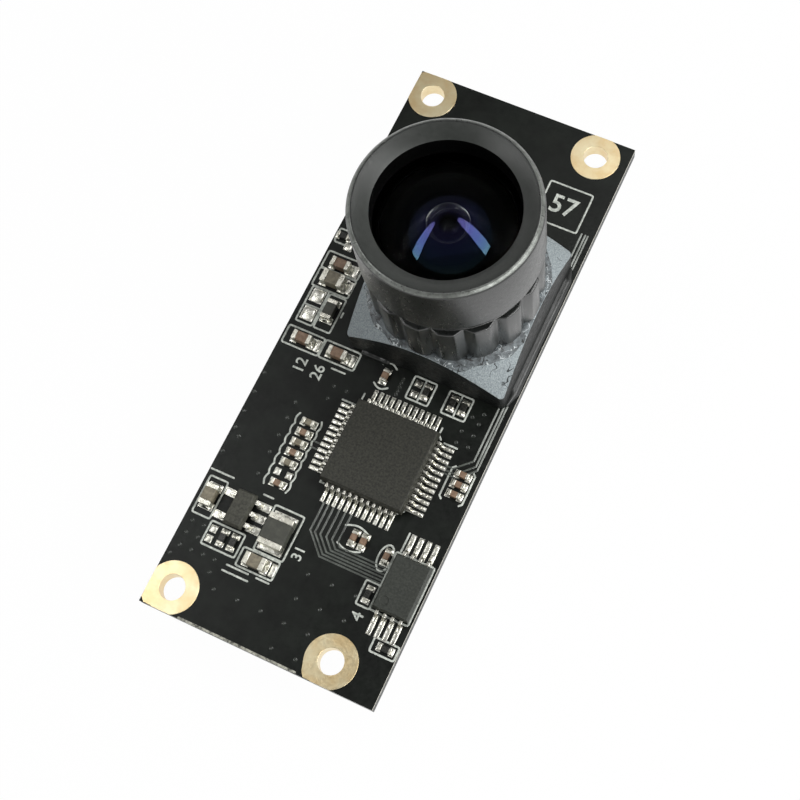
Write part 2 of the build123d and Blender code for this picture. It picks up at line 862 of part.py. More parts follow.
def camera_module():
    """Every piece of the module by name, each a list of separate solids."""
    all_chips = brown_capacitors + beige_capacitors + resistors + ferrite_beads
    crystal_base, crystal_lid = crystal_parts()
    rear_spacer_radius = rear_lens_radius - rear_spacer_wall
    rear_ring_opening = rear_lens_radius - rear_ring_wall
    spacer_opening = second_lens_radius - front_spacer_wall
    recess_floor = top + sensor_height - sensor_recess_depth
    sensor_top = top + sensor_height
    front_spacer_bottom = web_top + second_lens_rim
    stop_bottom = web_bottom - stop_thickness
    bare = [flat_pad(x, y, width, length) for (x, y), width, length in bare_pads]
    return {
        "circuit_board": [circuit_board()],
        "mounting_hole_platings": hole_platings(),
        "solder_pads": package_pads() + chip_pads(all_chips),
        "bare_solder_pads": bare,
        "lens_holder": [lens_holder()],
        "holder_glue_beads": holder_beads(),
        "lens_adhesive_ring": [adhesive_ring()],
        "lens_barrel": [lens_barrel()],
        "front_retaining_ring": [front_retaining_ring()],
        "front_lens": [front_lens()],
        "front_spacer_ring": [
            ring(second_lens_radius, spacer_opening, front_spacer_bottom, front_spacer_height)
        ],
        "second_lens": [second_lens()],
        "aperture_stop": [ring(stop_radius, stop_hole_radius, stop_bottom, stop_thickness)],
        "third_lens": [third_lens()],
        "rear_spacer_ring": [ring(rear_lens_radius, rear_spacer_radius, rear_lens_top, rear_spacer_height)],
        "rear_lens": [rear_lens()],
        "rear_retaining_ring": [
            ring(rear_lens_radius, rear_ring_opening, rear_ring_top - rear_ring_height, rear_ring_height)
        ],
        "infrared_filter": [block(lens_x, lens_y, filter_seat, filter_width, filter_width, filter_thickness)],
        "image_sensor_package": [sensor_package()],
        "image_sensor_die": [block(lens_x, lens_y, recess_floor, die_width, die_length, die_thickness)],
        "sensor_cover_glass": [
            block(lens_x, lens_y, sensor_top, cover_glass_width, cover_glass_width, cover_glass_thickness)
        ],
        "controller_body": [
            moulded_body(
                controller_x, controller_y, controller_standoff, controller_width, controller_width,
                controller_height,
            )
        ],
        "controller_leads": controller_leads(),
        "memory_chip_body": [memory_body()],
        "memory_chip_leads": memory_leads(),
        "regulator_body": [
            moulded_body(
                regulator_x, regulator_y, regulator_standoff, regulator_width, regulator_length,
                regulator_height,
            )
        ],
        "regulator_leads": regulator_leads(),
        "inductor_core": [inductor_core()],
        "inductor_terminals": inductor_terminals(),
        "brown_capacitor_bodies": chip_bodies(brown_capacitors),
        "beige_capacitor_bodies": chip_bodies(beige_capacitors),
        "capacitor_end_caps": chip_end_caps(brown_capacitors + beige_capacitors),
        "resistor_bodies": chip_bodies(resistors),
        "resistor_end_caps": chip_end_caps(resistors),
        "ferrite_bead_body": chip_bodies(ferrite_beads),
        "ferrite_bead_end_caps": chip_end_caps(ferrite_beads),
        "connector_housing": [connector_housing()],
        "connector_contacts": connector_contacts(),
        "connector_anchor_tabs": connector_anchor_tabs(),
        "crystal_base": [crystal_base],
        "crystal_lid": [crystal_lid],
        "underside_capacitor_bodies": underside(chip_bodies(underside_capacitors)),
        "underside_capacitor_end_caps": underside(chip_end_caps(underside_capacitors)),
        "underside_solder_pads": underside(chip_pads(underside_capacitors)),
    }


os.makedirs("parts", exist_ok=True)
for name, shapes in camera_module().items():
    solids = [solid for shape in shapes for solid in shape.solids()]
    piece = solids[0] if len(solids) == 1 else Compound(solids)
    export_step(piece, os.path.join("parts", name + ".step"))
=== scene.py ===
# Camera module: a narrow circuit board with a fluted wide-angle lens in a square holder,
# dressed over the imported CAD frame. Lengths are millimetres in the frame's axes unless a
# name says otherwise: +Z out through the lens, +Y towards the board's lens end.
import logging
import math
from collections.abc import Callable
from dataclasses import dataclass
from enum import Enum
from functools import partial

import bmesh
import bpy
import numpy as np
from mathutils import Matrix, Vector


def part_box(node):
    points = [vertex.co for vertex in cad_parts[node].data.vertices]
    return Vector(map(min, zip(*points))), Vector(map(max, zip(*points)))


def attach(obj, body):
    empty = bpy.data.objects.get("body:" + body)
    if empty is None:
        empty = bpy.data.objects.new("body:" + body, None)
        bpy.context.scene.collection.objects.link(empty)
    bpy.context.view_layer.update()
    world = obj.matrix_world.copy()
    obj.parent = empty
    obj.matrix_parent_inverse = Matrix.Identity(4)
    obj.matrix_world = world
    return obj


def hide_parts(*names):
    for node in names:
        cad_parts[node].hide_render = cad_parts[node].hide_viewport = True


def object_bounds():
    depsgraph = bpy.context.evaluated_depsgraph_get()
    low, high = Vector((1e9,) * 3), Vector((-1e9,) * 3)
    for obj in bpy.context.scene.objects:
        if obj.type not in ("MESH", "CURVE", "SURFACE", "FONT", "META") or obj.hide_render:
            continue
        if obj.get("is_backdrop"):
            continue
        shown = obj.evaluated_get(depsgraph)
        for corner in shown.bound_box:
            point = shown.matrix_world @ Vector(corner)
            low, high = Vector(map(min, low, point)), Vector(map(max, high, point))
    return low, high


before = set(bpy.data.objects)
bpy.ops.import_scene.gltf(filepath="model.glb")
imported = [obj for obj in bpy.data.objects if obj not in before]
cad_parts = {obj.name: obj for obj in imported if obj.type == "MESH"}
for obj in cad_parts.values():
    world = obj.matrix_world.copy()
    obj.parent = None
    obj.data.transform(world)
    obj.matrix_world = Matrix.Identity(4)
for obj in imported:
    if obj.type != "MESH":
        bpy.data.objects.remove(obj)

MM = 0.001
BODY = "root"
log = logging.getLogger("camera_module")


def linear(code: str) -> tuple[float, float, float, float]:
    """Turn an sRGB hex colour into linear RGBA.

    Args:
        code: colour such as "#1c1f1c".

    Returns:
        Linear red, green, blue and an alpha of 1.
    """
    channels = np.array([int(code[start:start + 2], 16) for start in (1, 3, 5)]) / 255
    values = np.where(channels <= 0.04045, channels / 12.92, ((channels + 0.055) / 1.055) ** 2.4)
    return (*values.tolist(), 1.0)


def add_node(tree: bpy.types.NodeTree, kind: str, inputs: dict, output: int | str = 0,
             **settings) -> bpy.types.NodeSocket | None:
    """Add a node with its settings and links.

    Args:
        tree: node tree that gets the node.
        kind: Blender's name of the node type.
        inputs: socket name or index to a plain value, or to the socket that feeds it.
        output: name or index of the output that is wanted.
        settings: attributes of the node.

    Returns:
        That output, or None for a node without outputs.
    """
    node = tree.nodes.new(kind)
    for name, value in settings.items():
        setattr(node, name, value)
    for key, value in inputs.items():
        if isinstance(value, bpy.types.NodeSocket):
            tree.links.new(value, node.inputs[key])
        else:
            node.inputs[key].default_value = value
    return node.outputs[output] if len(node.outputs) else None


def clean_tree(owner: bpy.types.Material | bpy.types.World) -> bpy.types.NodeTree:
    """Node tree of a material or world, switched on and emptied."""
    owner.use_nodes = True
    owner.node_tree.nodes.clear()
    return owner.node_tree


class Pattern:
    """Patterns on an object's own coordinates, with every size in real millimetres."""

    def __init__(self, tree: bpy.types.NodeTree) -> None:
        """Start from the coordinates of the object."""
        self.tree = tree
        self.place = add_node(tree, "ShaderNodeTexCoord", {}, "Object")

    def patches(self, size_mm: float, stretch: tuple[float, float, float] = (1.0, 1.0, 1.0), low: float = 0.35,
                high: float = 0.65) -> bpy.types.NodeSocket:
        """Soft patches from 0 to 1 that are about size_mm wide: noise, spread from low and high."""
        mapped = add_node(self.tree, "ShaderNodeMapping", {"Vector": self.place, "Scale": stretch})
        noise = add_node(self.tree, "ShaderNodeTexNoise", {
            "Vector": mapped, "Scale": 1 / (size_mm * MM), "Detail": 3.0, "Roughness": 0.6,
        })
        return add_node(self.tree, "ShaderNodeMapRange", {"Value": noise, "From Min": low, "From Max": high})

    def specks(self, spacing_mm: float, radius: float, share: float) -> bpy.types.NodeSocket:
        """Dots of uneven size: near a cell's point, and only in that share of the cells."""
        cell = {"Vector": self.place, "Scale": 1 / (spacing_mm * MM)}
        distance = add_node(self.tree, "ShaderNodeTexVoronoi", cell, "Distance")
        chance = add_node(self.tree, "ShaderNodeSeparateColor", {
            "Color": add_node(self.tree, "ShaderNodeTexVoronoi", cell, "Color"),
        })
        size = add_node(self.tree, "ShaderNodeMapRange", {
            "Value": chance, "From Max": share, "To Min": radius, "To Max": radius * 0.3,
        })
        inside = add_node(self.tree, "ShaderNodeMath", {0: distance, 1: size}, operation="LESS_THAN")
        chosen = add_node(self.tree, "ShaderNodeMath", {0: chance, 1: share}, operation="LESS_THAN")
        return add_node(self.tree, "ShaderNodeMath", {0: inside, 1: chosen}, operation="MULTIPLY")

    def hairlines(self, size_mm: float, width: float) -> bpy.types.NodeSocket:
        """Wandering thin lines: where soft noise crosses its middle, kept only in some patches."""
        noise = add_node(self.tree, "ShaderNodeTexNoise", {
            "Vector": self.place, "Scale": 1 / (size_mm * MM), "Detail": 1.0, "Distortion": 0.6,
        })
        near = add_node(self.tree, "ShaderNodeMath", {0: noise, 1: 0.5, 2: width}, operation="COMPARE")
        return add_node(self.tree, "ShaderNodeMath", {
            0: near, 1: self.patches(size_mm * 1.3, low=0.5, high=0.55),
        }, operation="MULTIPLY")


@dataclass(frozen=True)
class Dress:
    """What a piece is dressed in: one material, kept by its name."""

    name: str

    def shader(self, pattern: Pattern) -> bpy.types.NodeSocket:
        """Shader of the material, which each kind of dress makes for itself."""
        raise NotImplementedError

    def material(self) -> bpy.types.Material:
        """Material of this dress, made once."""
        made = bpy.data.materials.get(self.name)
        if made is None:
            made = bpy.data.materials.new(self.name)
            pattern = Pattern(clean_tree(made))
            add_node(pattern.tree, "ShaderNodeOutputMaterial", {0: self.shader(pattern)})
        return made


@dataclass(frozen=True)
class Finish(Dress):
    """Opaque finish: two mottled colours, a fine grain, and specks where it has them.

    Lengths are real millimetres. Roughness varies with the grain by its spread.
    """

    colour: str
    shade: str
    mottle_mm: float
    grain_mm: float
    grain_depth_mm: float
    roughness: float
    roughness_spread: float = 0.06
    metallic: float = 0.0
    specular: float = 0.5
    speck: str = ""
    speck_spacing_mm: float = 1.0
    speck_share: float = 0.3
    speck_radius: float = 0.05
    stretch: tuple[float, float, float] = (1.0, 1.0, 1.0)

    def tint(self, pattern: Pattern) -> bpy.types.NodeSocket:
        """Colour: the two colours in soft patches, with the specks over them."""
        tint = add_node(pattern.tree, "ShaderNodeMix", {
            0: pattern.patches(self.mottle_mm), 6: linear(self.colour), 7: linear(self.shade),
        }, 2, data_type="RGBA")
        if not self.speck:
            return tint
        return add_node(pattern.tree, "ShaderNodeMix", {
            0: pattern.specks(self.speck_spacing_mm, self.speck_radius, self.speck_share),
            6: tint, 7: linear(self.speck),
        }, 2, data_type="RGBA")

    def relief(self, pattern: Pattern) -> bpy.types.NodeSocket:
        """Normal: the grain as bump of its real depth."""
        return add_node(pattern.tree, "ShaderNodeBump", {
            "Height": pattern.patches(self.grain_mm, self.stretch, 0.2, 0.8), "Distance": self.grain_depth_mm * MM,
            "Strength": 1.0,
        })

    def shader(self, pattern: Pattern) -> bpy.types.NodeSocket:
        """Opaque shader with the tint, the relief and a roughness that follows the grain."""
        roughness = add_node(pattern.tree, "ShaderNodeMapRange", {
            "Value": pattern.patches(self.grain_mm * 3, self.stretch),
            "To Min": self.roughness - self.roughness_spread, "To Max": self.roughness + self.roughness_spread,
        })
        return add_node(pattern.tree, "ShaderNodeBsdfPrincipled", {
            "Base Color": self.tint(pattern), "Roughness": roughness, "Metallic": self.metallic,
            "Specular IOR Level": self.specular, "Normal": self.relief(pattern),
        })


@dataclass(frozen=True)
class SolderMask(Finish):
    """Black solder mask over dark woven glass epoxy, with a pale band of bare fibres just under its upper edge, a
    painted highlight of the rounded top corner.
    """

    laminate: str = "#e4e1d4"
    laminate_shade: str = "#8f8a78"
    weave_mm: float = 0.6
    weave_depth_mm: float = 0.0012
    weave_distortion: float = 1.5
    fibre_mm: float = 0.35
    fibre_stretch: tuple[float, float, float] = (1.0, 1.0, 7.0)
    # Height and half width of the pale band painted as the highlight of the rounded top corner
    painted_highlight_height_mm: float = 1.06
    painted_highlight_half_mm: float = 0.11

    def tint(self, pattern: Pattern) -> bpy.types.NodeSocket:
        """Mask colour with dust, and a painted highlight band of bare fibres just under the upper edge."""
        fibres = add_node(pattern.tree, "ShaderNodeMix", {
            0: pattern.patches(self.fibre_mm, self.fibre_stretch), 6: linear(self.laminate),
            7: linear(self.laminate_shade),
        }, 2, data_type="RGBA")
        height = add_node(pattern.tree, "ShaderNodeSeparateXYZ", {0: pattern.place}, "Z")
        # Painted highlight: pale fibres in a band along the side just under the top edge
        core = add_node(pattern.tree, "ShaderNodeMath", {
            0: height, 1: self.painted_highlight_height_mm * MM, 2: self.painted_highlight_half_mm * MM,
        }, operation="COMPARE")
        return add_node(pattern.tree, "ShaderNodeMix", {0: core, 6: super().tint(pattern), 7: fibres}, 2,
                        data_type="RGBA")

    def relief(self, pattern: Pattern) -> bpy.types.NodeSocket:
        """Normal: the weave's crossed waves under the mask, then the mask's own orange peel."""
        waves = [
            add_node(pattern.tree, "ShaderNodeTexWave", {
                "Vector": pattern.place, "Scale": math.pi / (10 * self.weave_mm * MM),
                "Distortion": self.weave_distortion,
            }, 1, bands_direction=axis)
            for axis in ("X", "Y")
        ]
        crossed = add_node(pattern.tree, "ShaderNodeMath", {0: waves[0], 1: waves[1]}, operation="MULTIPLY")
        weave = add_node(pattern.tree, "ShaderNodeBump", {
            "Height": crossed, "Distance": self.weave_depth_mm * MM, "Strength": 1.0,
        })
        return add_node(pattern.tree, "ShaderNodeBump", {
            "Height": pattern.patches(self.grain_mm), "Distance": self.grain_depth_mm * MM, "Strength": 1.0,
            "Normal": weave,
        })


@dataclass(frozen=True)
class PaintedSheenPlastic(Finish):
    """Black moulded plastic whose upward faces carry a painted blue-grey sheen, with dark swirls in it."""

    painted_sheen_colour: str = "#a2abad"
    painted_sheen_shade: str = "#7a8285"
    painted_sheen_mm: float = 0.11
    painted_sheen_from: float = 0.25
    painted_sheen_full: float = 0.6
    swirl: str = "#25292b"
    swirl_mm: float = 1.6
    swirl_width: float = 0.009

    def tint(self, pattern: Pattern) -> bpy.types.NodeSocket:
        """Painted sheen in fine patches and dark swirls where the face looks up, plain plastic on the walls."""
        painted_sheen = add_node(pattern.tree, "ShaderNodeMix", {
            0: pattern.patches(self.painted_sheen_mm), 6: linear(self.painted_sheen_colour), 7: linear(self.painted_sheen_shade),
        }, 2, data_type="RGBA")
        swirled = add_node(pattern.tree, "ShaderNodeMix", {
            0: pattern.hairlines(self.swirl_mm, self.swirl_width), 6: painted_sheen, 7: linear(self.swirl),
        }, 2, data_type="RGBA")
        facing = add_node(pattern.tree, "ShaderNodeSeparateXYZ", {
            0: add_node(pattern.tree, "ShaderNodeTexCoord", {}, "Normal"),
        }, "Z")
        # Painted sheen: faces that look up get the lighter colour, the walls keep the black
        painted_sheen_share = add_node(pattern.tree, "ShaderNodeMapRange", {
            "Value": facing, "From Min": self.painted_sheen_from, "From Max": self.painted_sheen_full,
        })
        return add_node(pattern.tree, "ShaderNodeMix", {0: painted_sheen_share, 6: super().tint(pattern), 7: swirled}, 2,
                        data_type="RGBA")


@dataclass(frozen=True)
class FlakedAdhesivePaintedLight(Finish):
    """Cured adhesive with painted highlights as pale ridge lines and painted shade as dark crack lines, both wandering
    over it.
    """

    painted_ridge_highlight: str = "#c5cbcc"
    painted_crack_shade: str = "#101313"
    painted_ridge_highlight_mm: float = 0.55
    painted_ridge_highlight_width: float = 0.022
    painted_crack_shade_mm: float = 0.8
    painted_crack_shade_width: float = 0.035

    def tint(self, pattern: Pattern) -> bpy.types.NodeSocket:
        """Mottled body, then the painted shade of the cracks, then the painted highlights of the ridges."""
        crack_shaded = add_node(pattern.tree, "ShaderNodeMix", {
            0: pattern.hairlines(self.painted_crack_shade_mm, self.painted_crack_shade_width), 6: super().tint(pattern), 7: linear(self.painted_crack_shade),
        }, 2, data_type="RGBA")
        return add_node(pattern.tree, "ShaderNodeMix", {
            0: pattern.hairlines(self.painted_ridge_highlight_mm, self.painted_ridge_highlight_width), 6: crack_shaded, 7: linear(self.painted_ridge_highlight),
        }, 2, data_type="RGBA")


@dataclass(frozen=True)
class CoatedGlass(Dress):
    """Polished optical glass whose anti-reflection coating leaves a faint colour on what it reflects."""

    tint: str
    reflection: str
    streak_mm: float = 2.5
    streak_share: float = 0.96
    ior: float = 1.52

    def shader(self, pattern: Pattern) -> bpy.types.NodeSocket:
        """Clear shader with faint streaks in the glass and the coating's colour on its reflections."""
        shade = tuple(self.streak_share * channel for channel in linear(self.tint)[:3]) + (1.0,)
        body = add_node(pattern.tree, "ShaderNodeMix", {
            0: pattern.patches(self.streak_mm), 6: linear(self.tint), 7: shade,
        }, 2, data_type="RGBA")
        return add_node(pattern.tree, "ShaderNodeBsdfPrincipled", {
            "Base Color": body, "Roughness": 0.0, "Transmission Weight": 1.0, "IOR": self.ior,
            "Specular Tint": linear(self.reflection),
        })


class Finishes:
    """Every finish of the module, named for its real material and how it was made."""

    # Mask sunk into the closed vias, a shade lighter than the flat mask
    via_mask = Finish("black_solder_mask_over_vias", "#2f332e", "#262a25", 1.0, 0.06, 0.001, 0.24, specular=0.6)
    # Liquid photoimageable mask: near-black, half glossy, with fine dust on it, and a painted highlight band under the
    # board's upper edge
    mask = SolderMask(
        "black_solder_mask_on_glass_epoxy", "#0a0d0a", "#151915", 2.2, 0.09, 0.0012, 0.36,
        roughness_spread=0.08, specular=0.22, speck="#5f645e", speck_spacing_mm=1.3, speck_radius=0.03,
    )
    # Mask over a copper track: glossier and thinner, so that its shoulders catch the light, and painted mid grey along
    # it as a painted highlight
    track_mask_painted_highlight = Finish("solder_mask_over_tracks_painted_highlight", "#5c615b", "#474b46", 1.0, 0.06, 0.001, 0.24, specular=0.7)
    # The same mask over the thick tracks at the edge, painted pale grey along them as a painted highlight
    edge_track_painted_highlight = Finish("edge_tracks_painted_highlight", "#a5a9a3", "#858983", 1.0, 0.06, 0.001, 0.3, specular=0.6)
    # Glass fibres laid bare where the mask is rubbed off
    frayed_fibres = Finish("frayed_glass_fibres", "#bdbcae", "#4a4b44", 0.25, 0.08, 0.004, 0.6, roughness_spread=0.1)
    # Epoxy screen ink: chalky white with ragged cover
    ink = Finish(
        "white_screen_printed_ink", "#dde1d9", "#a3a8a1", 0.22, 0.05, 0.006, 0.6, roughness_spread=0.12,
        specular=0.35,
    )
    # Immersion gold over nickel: pale satin gold with a few handling marks
    gold = Finish(
        "immersion_gold_plating", "#f2e4bd", "#e8cf9e", 1.6, 0.05, 0.001, 0.34, metallic=1.0,
        speck="#a08f60", speck_spacing_mm=1.6, speck_share=0.12,
    )
    # Reflowed solder: bright tin with frosty crystals
    solder = Finish(
        "reflowed_tin_solder", "#f4f3ea", "#cfcec2", 0.3, 0.16, 0.0018, 0.29, roughness_spread=0.07, metallic=1.0,
    )
    # Matt tin on the packages' leads
    lead_tin = Finish("matt_tin_plated_leads", "#f0efe6", "#cccabd", 0.2, 0.05, 0.003, 0.26, metallic=1.0)
    # Fired tin end caps, a little greyer and rougher
    cap_tin = Finish(
        "plated_chip_end_caps", "#eceade", "#c6c4b7", 0.3, 0.14, 0.002, 0.31, roughness_spread=0.07, metallic=1.0,
    )
    # Sintered capacitor ceramic, brown with a faint sheen
    brown_ceramic = Finish("sintered_brown_ceramic", "#8f7660", "#755d49", 0.3, 0.05, 0.003, 0.38)
    # The larger capacitors' ceramic, a greyer beige
    beige_ceramic = Finish("sintered_beige_ceramic", "#87806c", "#6a6353", 0.3, 0.05, 0.003, 0.38)
    # Glazed resistor film: black and shiny
    resistor_glaze = Finish("glazed_resistor_film", "#1b1c19", "#2c2c27", 0.3, 0.05, 0.002, 0.3)
    # Pressed ferrite, dark and finely granular
    ferrite = Finish("pressed_ferrite", "#4a4b42", "#3b3c35", 0.5, 0.06, 0.004, 0.5)
    # Transfer-moulded epoxy: warm dark grey, fine grit, a few dust specks
    epoxy = Finish(
        "moulded_package_epoxy", "#37372f", "#22221d", 0.17, 0.075, 0.007, 0.58, roughness_spread=0.08,
        specular=0.4, speck="#9a9a90", speck_spacing_mm=2.2, speck_share=0.16, speck_radius=0.03,
    )
    # The memory chip's epoxy, a shade smoother and cooler
    memory_epoxy = Finish(
        "moulded_memory_epoxy", "#383b35", "#282b26", 0.17, 0.07, 0.005, 0.52, roughness_spread=0.08,
        specular=0.4,
    )
    # The regulator's epoxy, lighter and chalkier
    pale_epoxy = Finish(
        "moulded_regulator_epoxy", "#4a4a41", "#34342e", 0.17, 0.075, 0.007, 0.58, roughness_spread=0.08,
        specular=0.4,
    )
    # Injection-moulded holder: black walls, and a painted blue-grey sheen on its upward faces
    holder = PaintedSheenPlastic(
        "moulded_holder_plastic", "#151817", "#0e100f", 1.2, 0.1, 0.012, 0.5, roughness_spread=0.1,
        specular=0.3,
    )
    # Thread-locking adhesive, cured rough and dusty, with painted highlights and painted shade in wandering lines
    adhesive = FlakedAdhesivePaintedLight(
        "cured_thread_adhesive", "#6f777a", "#353a3c", 0.5, 0.16, 0.03, 0.45, roughness_spread=0.15,
        specular=0.6,
    )
    # Potting glue: black and wet-looking
    glue = Finish(
        "black_potting_glue", "#1a1d1b", "#0f110f", 1.6, 1.4, 0.01, 0.34, roughness_spread=0.04, specular=0.55,
    )
    # Bead-blasted and anodised aluminium: matt charcoal with a fine even grain
    anodise = Finish(
        "blasted_black_anodised_aluminium", "#131613", "#101210", 1.6, 0.08, 0.0045, 0.32,
        roughness_spread=0.05, specular=0.75,
    )
    # The ring's dished face, turned finer than the barrel
    ring_anodise = Finish(
        "turned_black_anodised_aluminium", "#2e312e", "#262926", 1.6, 0.08, 0.0045, 0.4,
        roughness_spread=0.05, specular=0.6,
    )
    # The grip's milled flutes: cut after blasting, so glossier, with a faint tool grain along them
    milled_anodise = Finish(
        "milled_black_anodised_aluminium", "#1c1f1d", "#151716", 1.2, 0.12, 0.0008, 0.3,
        roughness_spread=0.04, specular=0.9, stretch=(1.0, 1.0, 0.12),
    )
    # The front lip, painted a lighter half-metallic grey as a painted highlight along its rounded edge
    lip_painted_highlight_anodise = Finish(
        "anodised_lip_painted_highlight", "#7b7e7a", "#5b5e5a", 0.5, 0.08, 0.003, 0.34, roughness_spread=0.08, metallic=0.55,
    )
    # Bores dyed and blackened against stray light
    inner_anodise = Finish("deep_black_anodised_bores", "#020202", "#040404", 1.0, 0.08, 0.002, 0.7, specular=0.04)
    # Bare turned edge of the inner cell, glossy enough to glint
    collar_anodise = Finish("bright_turned_collar_edge", "#101011", "#161618", 0.5, 0.08, 0.001, 0.16, specular=1.0)
    # Fired ceramic of the sensor and the crystal: matt and warm grey
    ceramic = Finish("fired_sensor_ceramic", "#8f887a", "#7b7467", 1.0, 0.08, 0.004, 0.6)
    # Polished silicon: a dark blue-grey mirror
    silicon = Finish("polished_silicon_die", "#46505c", "#39424c", 0.4, 0.05, 0.0005, 0.12, metallic=0.7)
    # Moulded connector plastic: ivory, slightly waxy
    connector = Finish("moulded_ivory_connector", "#d9d3bf", "#cac3ad", 1.5, 0.12, 0.006, 0.42)
    # Rolled metal lid with a brushed run
    crystal_metal = Finish(
        "rolled_crystal_lid", "#c4c1b7", "#aeaba0", 0.8, 0.08, 0.003, 0.3, metallic=1.0, stretch=(1.0, 8.0, 1.0),
    )
    # Coated so well that the outer face hardly reflects. The inner one's coating thickens
    # outwards, so that what it reflects goes from violet at the middle to teal at the rim
    front_glass = CoatedGlass("polished_front_lens_glass", "#f4f7fa", "#08080c")
    inner_faces = tuple(
        (reach, CoatedGlass(f"graded_coating_zone_{index}", "#f4f7fa", tint))
        for index, (reach, tint) in enumerate((
            (0.0, "#101014"), (0.45, "#26243c"), (0.58, "#5c58a0"), (0.72, "#8883e4"), (1.2, "#8f97ff"),
            (1.7, "#8aa0ff"), (2.2, "#8aaeff"), (2.6, "#8dbcfb"), (2.9, "#93cdf0"), (3.2, "#9adbe6"),
            (3.55, "#101416"),
        ))
    )
    # Coated lenses behind it, nearly free of reflections; the smoky bead; the filter, which mirrors red
    inner_glass = CoatedGlass("coated_inner_lens_glass", "#dfe4ea", "#15171f")
    bead_glass = CoatedGlass("uncoated_bead_lens_glass", "#2a2c2e", "#8a8c90")
    filter_glass = CoatedGlass("coated_infrared_filter_glass", "#cfeee6", "#ff9a8a")


@dataclass
class Surface:
    """Mesh in the making: points in millimetres, and faces of four corners."""

    points: np.ndarray
    quads: np.ndarray

    @staticmethod
    def from_grid(grid: np.ndarray, wrap_columns: bool = False, wrap_rows: bool = False) -> "Surface":
        """Surface through a grid of points.

        Args:
            grid: array of rows by columns by 3.
            wrap_columns: whether the last column joins the first.
            wrap_rows: whether the last row joins the first.

        Returns:
            Quads between each point and its next neighbours.
        """
        rows, columns = grid.shape[:2]
        index = np.arange(rows * columns).reshape(rows, columns)
        if wrap_columns:
            index = np.concatenate([index, index[:, :1]], axis=1)
        if wrap_rows:
            index = np.concatenate([index, index[:1]], axis=0)
        quads = np.stack([index[:-1, :-1], index[:-1, 1:], index[1:, 1:], index[1:, :-1]], axis=-1)
        return Surface(grid.reshape(-1, 3), quads.reshape(-1, 4))

    @staticmethod
    def revolved(radius: np.ndarray, height: np.ndarray, angle: np.ndarray, closed: bool = False) -> "Surface":
        """Surface of revolution about the Z axis: (r cos a, r sin a, z).

        Args:
            radius: array of rows by 1, or by columns.
            height: array of rows by 1, or by columns.
            angle: angles of the columns, once round.
            closed: whether the outline returns to its start.

        Returns:
            The surface, which closes at a pole where its radius is 0.
        """
        radius, height, angle = np.broadcast_arrays(radius, height, angle)
        grid = np.stack([radius * np.cos(angle), radius * np.sin(angle), height], axis=-1)
        return Surface.from_grid(grid, wrap_columns=True, wrap_rows=closed)

    @staticmethod
    def joined(parts: list["Surface"]) -> "Surface":
        """All parts as one surface."""
        starts = np.cumsum([0] + [len(part.points) for part in parts[:-1]])
        return Surface(
            np.concatenate([part.points for part in parts]),
            np.concatenate([part.quads + start for part, start in zip(parts, starts)]),
        )

    def placed(self, x: float, y: float, z: float = 0.0, turn: float = 0.0) -> "Surface":
        """Copy turned about Z by an angle in degrees, then moved."""
        cos, sin = math.cos(math.radians(turn)), math.sin(math.radians(turn))
        rotation = np.array([[cos, sin, 0.0], [-sin, cos, 0.0], [0.0, 0.0, 1.0]])
        return Surface(self.points @ rotation + np.array([x, y, z]), self.quads)

    def mesh(self, name: str) -> bpy.types.Mesh:
        """Mesh of the surface, in metres."""
        mesh = bpy.data.meshes.new(name)
        mesh.from_pydata((self.points * MM).tolist(), [], self.quads.tolist())
        return mesh


def around(steps: int) -> np.ndarray:
    """Angles of so many even steps once round a circle, in radians."""
    return np.linspace(0, 2 * np.pi, steps, endpoint=False)


def wobble(angle: np.ndarray, seed: int, waves: int = 7) -> np.ndarray:
    """Repeatable uneven curve round a circle: a sum of sines of falling height, within about -1..1."""
    random = np.random.default_rng(seed)
    order = np.arange(1, waves + 1)
    phase = random.uniform(0, 2 * np.pi, waves)
    weight = random.uniform(0.5, 1.0, waves) / order**0.6
    curve = np.sin(angle[..., None] * order + phase) @ weight
    return curve / weight.sum()


def rounded(outline: np.ndarray, radius: float, steps: int = 4) -> np.ndarray:
    """Closed outline with its corners rounded.

    Each corner is the quadratic curve from a point before it to a point after it, both
    radius away or a little under half the shorter side, with the corner as its control.

    Args:
        outline: array of corners by 2.
        radius: distance from a corner at which its curve starts.
        steps: points on each corner's curve.

    Returns:
        Array of corners times steps by 2.
    """
    before = np.roll(outline, 1, axis=0) - outline
    after = np.roll(outline, -1, axis=0) - outline
    long_before = np.linalg.norm(before, axis=1, keepdims=True)
    long_after = np.linalg.norm(after, axis=1, keepdims=True)
    reach = np.minimum(radius, 0.45 * np.minimum(long_before, long_after))
    start = (outline + before / long_before * reach)[:, None]
    end = (outline + after / long_after * reach)[:, None]
    share = np.linspace(0, 1, steps)[None, :, None]
    curve = (1 - share) ** 2 * start + 2 * share * (1 - share) * outline[:, None] + share**2 * end
    return curve.reshape(-1, 2)


def arc(centre_height: float, radius: float, start: float, end: float, steps: int) -> np.ndarray:
    """Points of a circle about the axis point at centre_height: (R cos a, c + R sin a), degrees."""
    angle = np.radians(np.linspace(start, end, steps))
    return np.stack([radius * np.cos(angle), centre_height + radius * np.sin(angle)], axis=1)


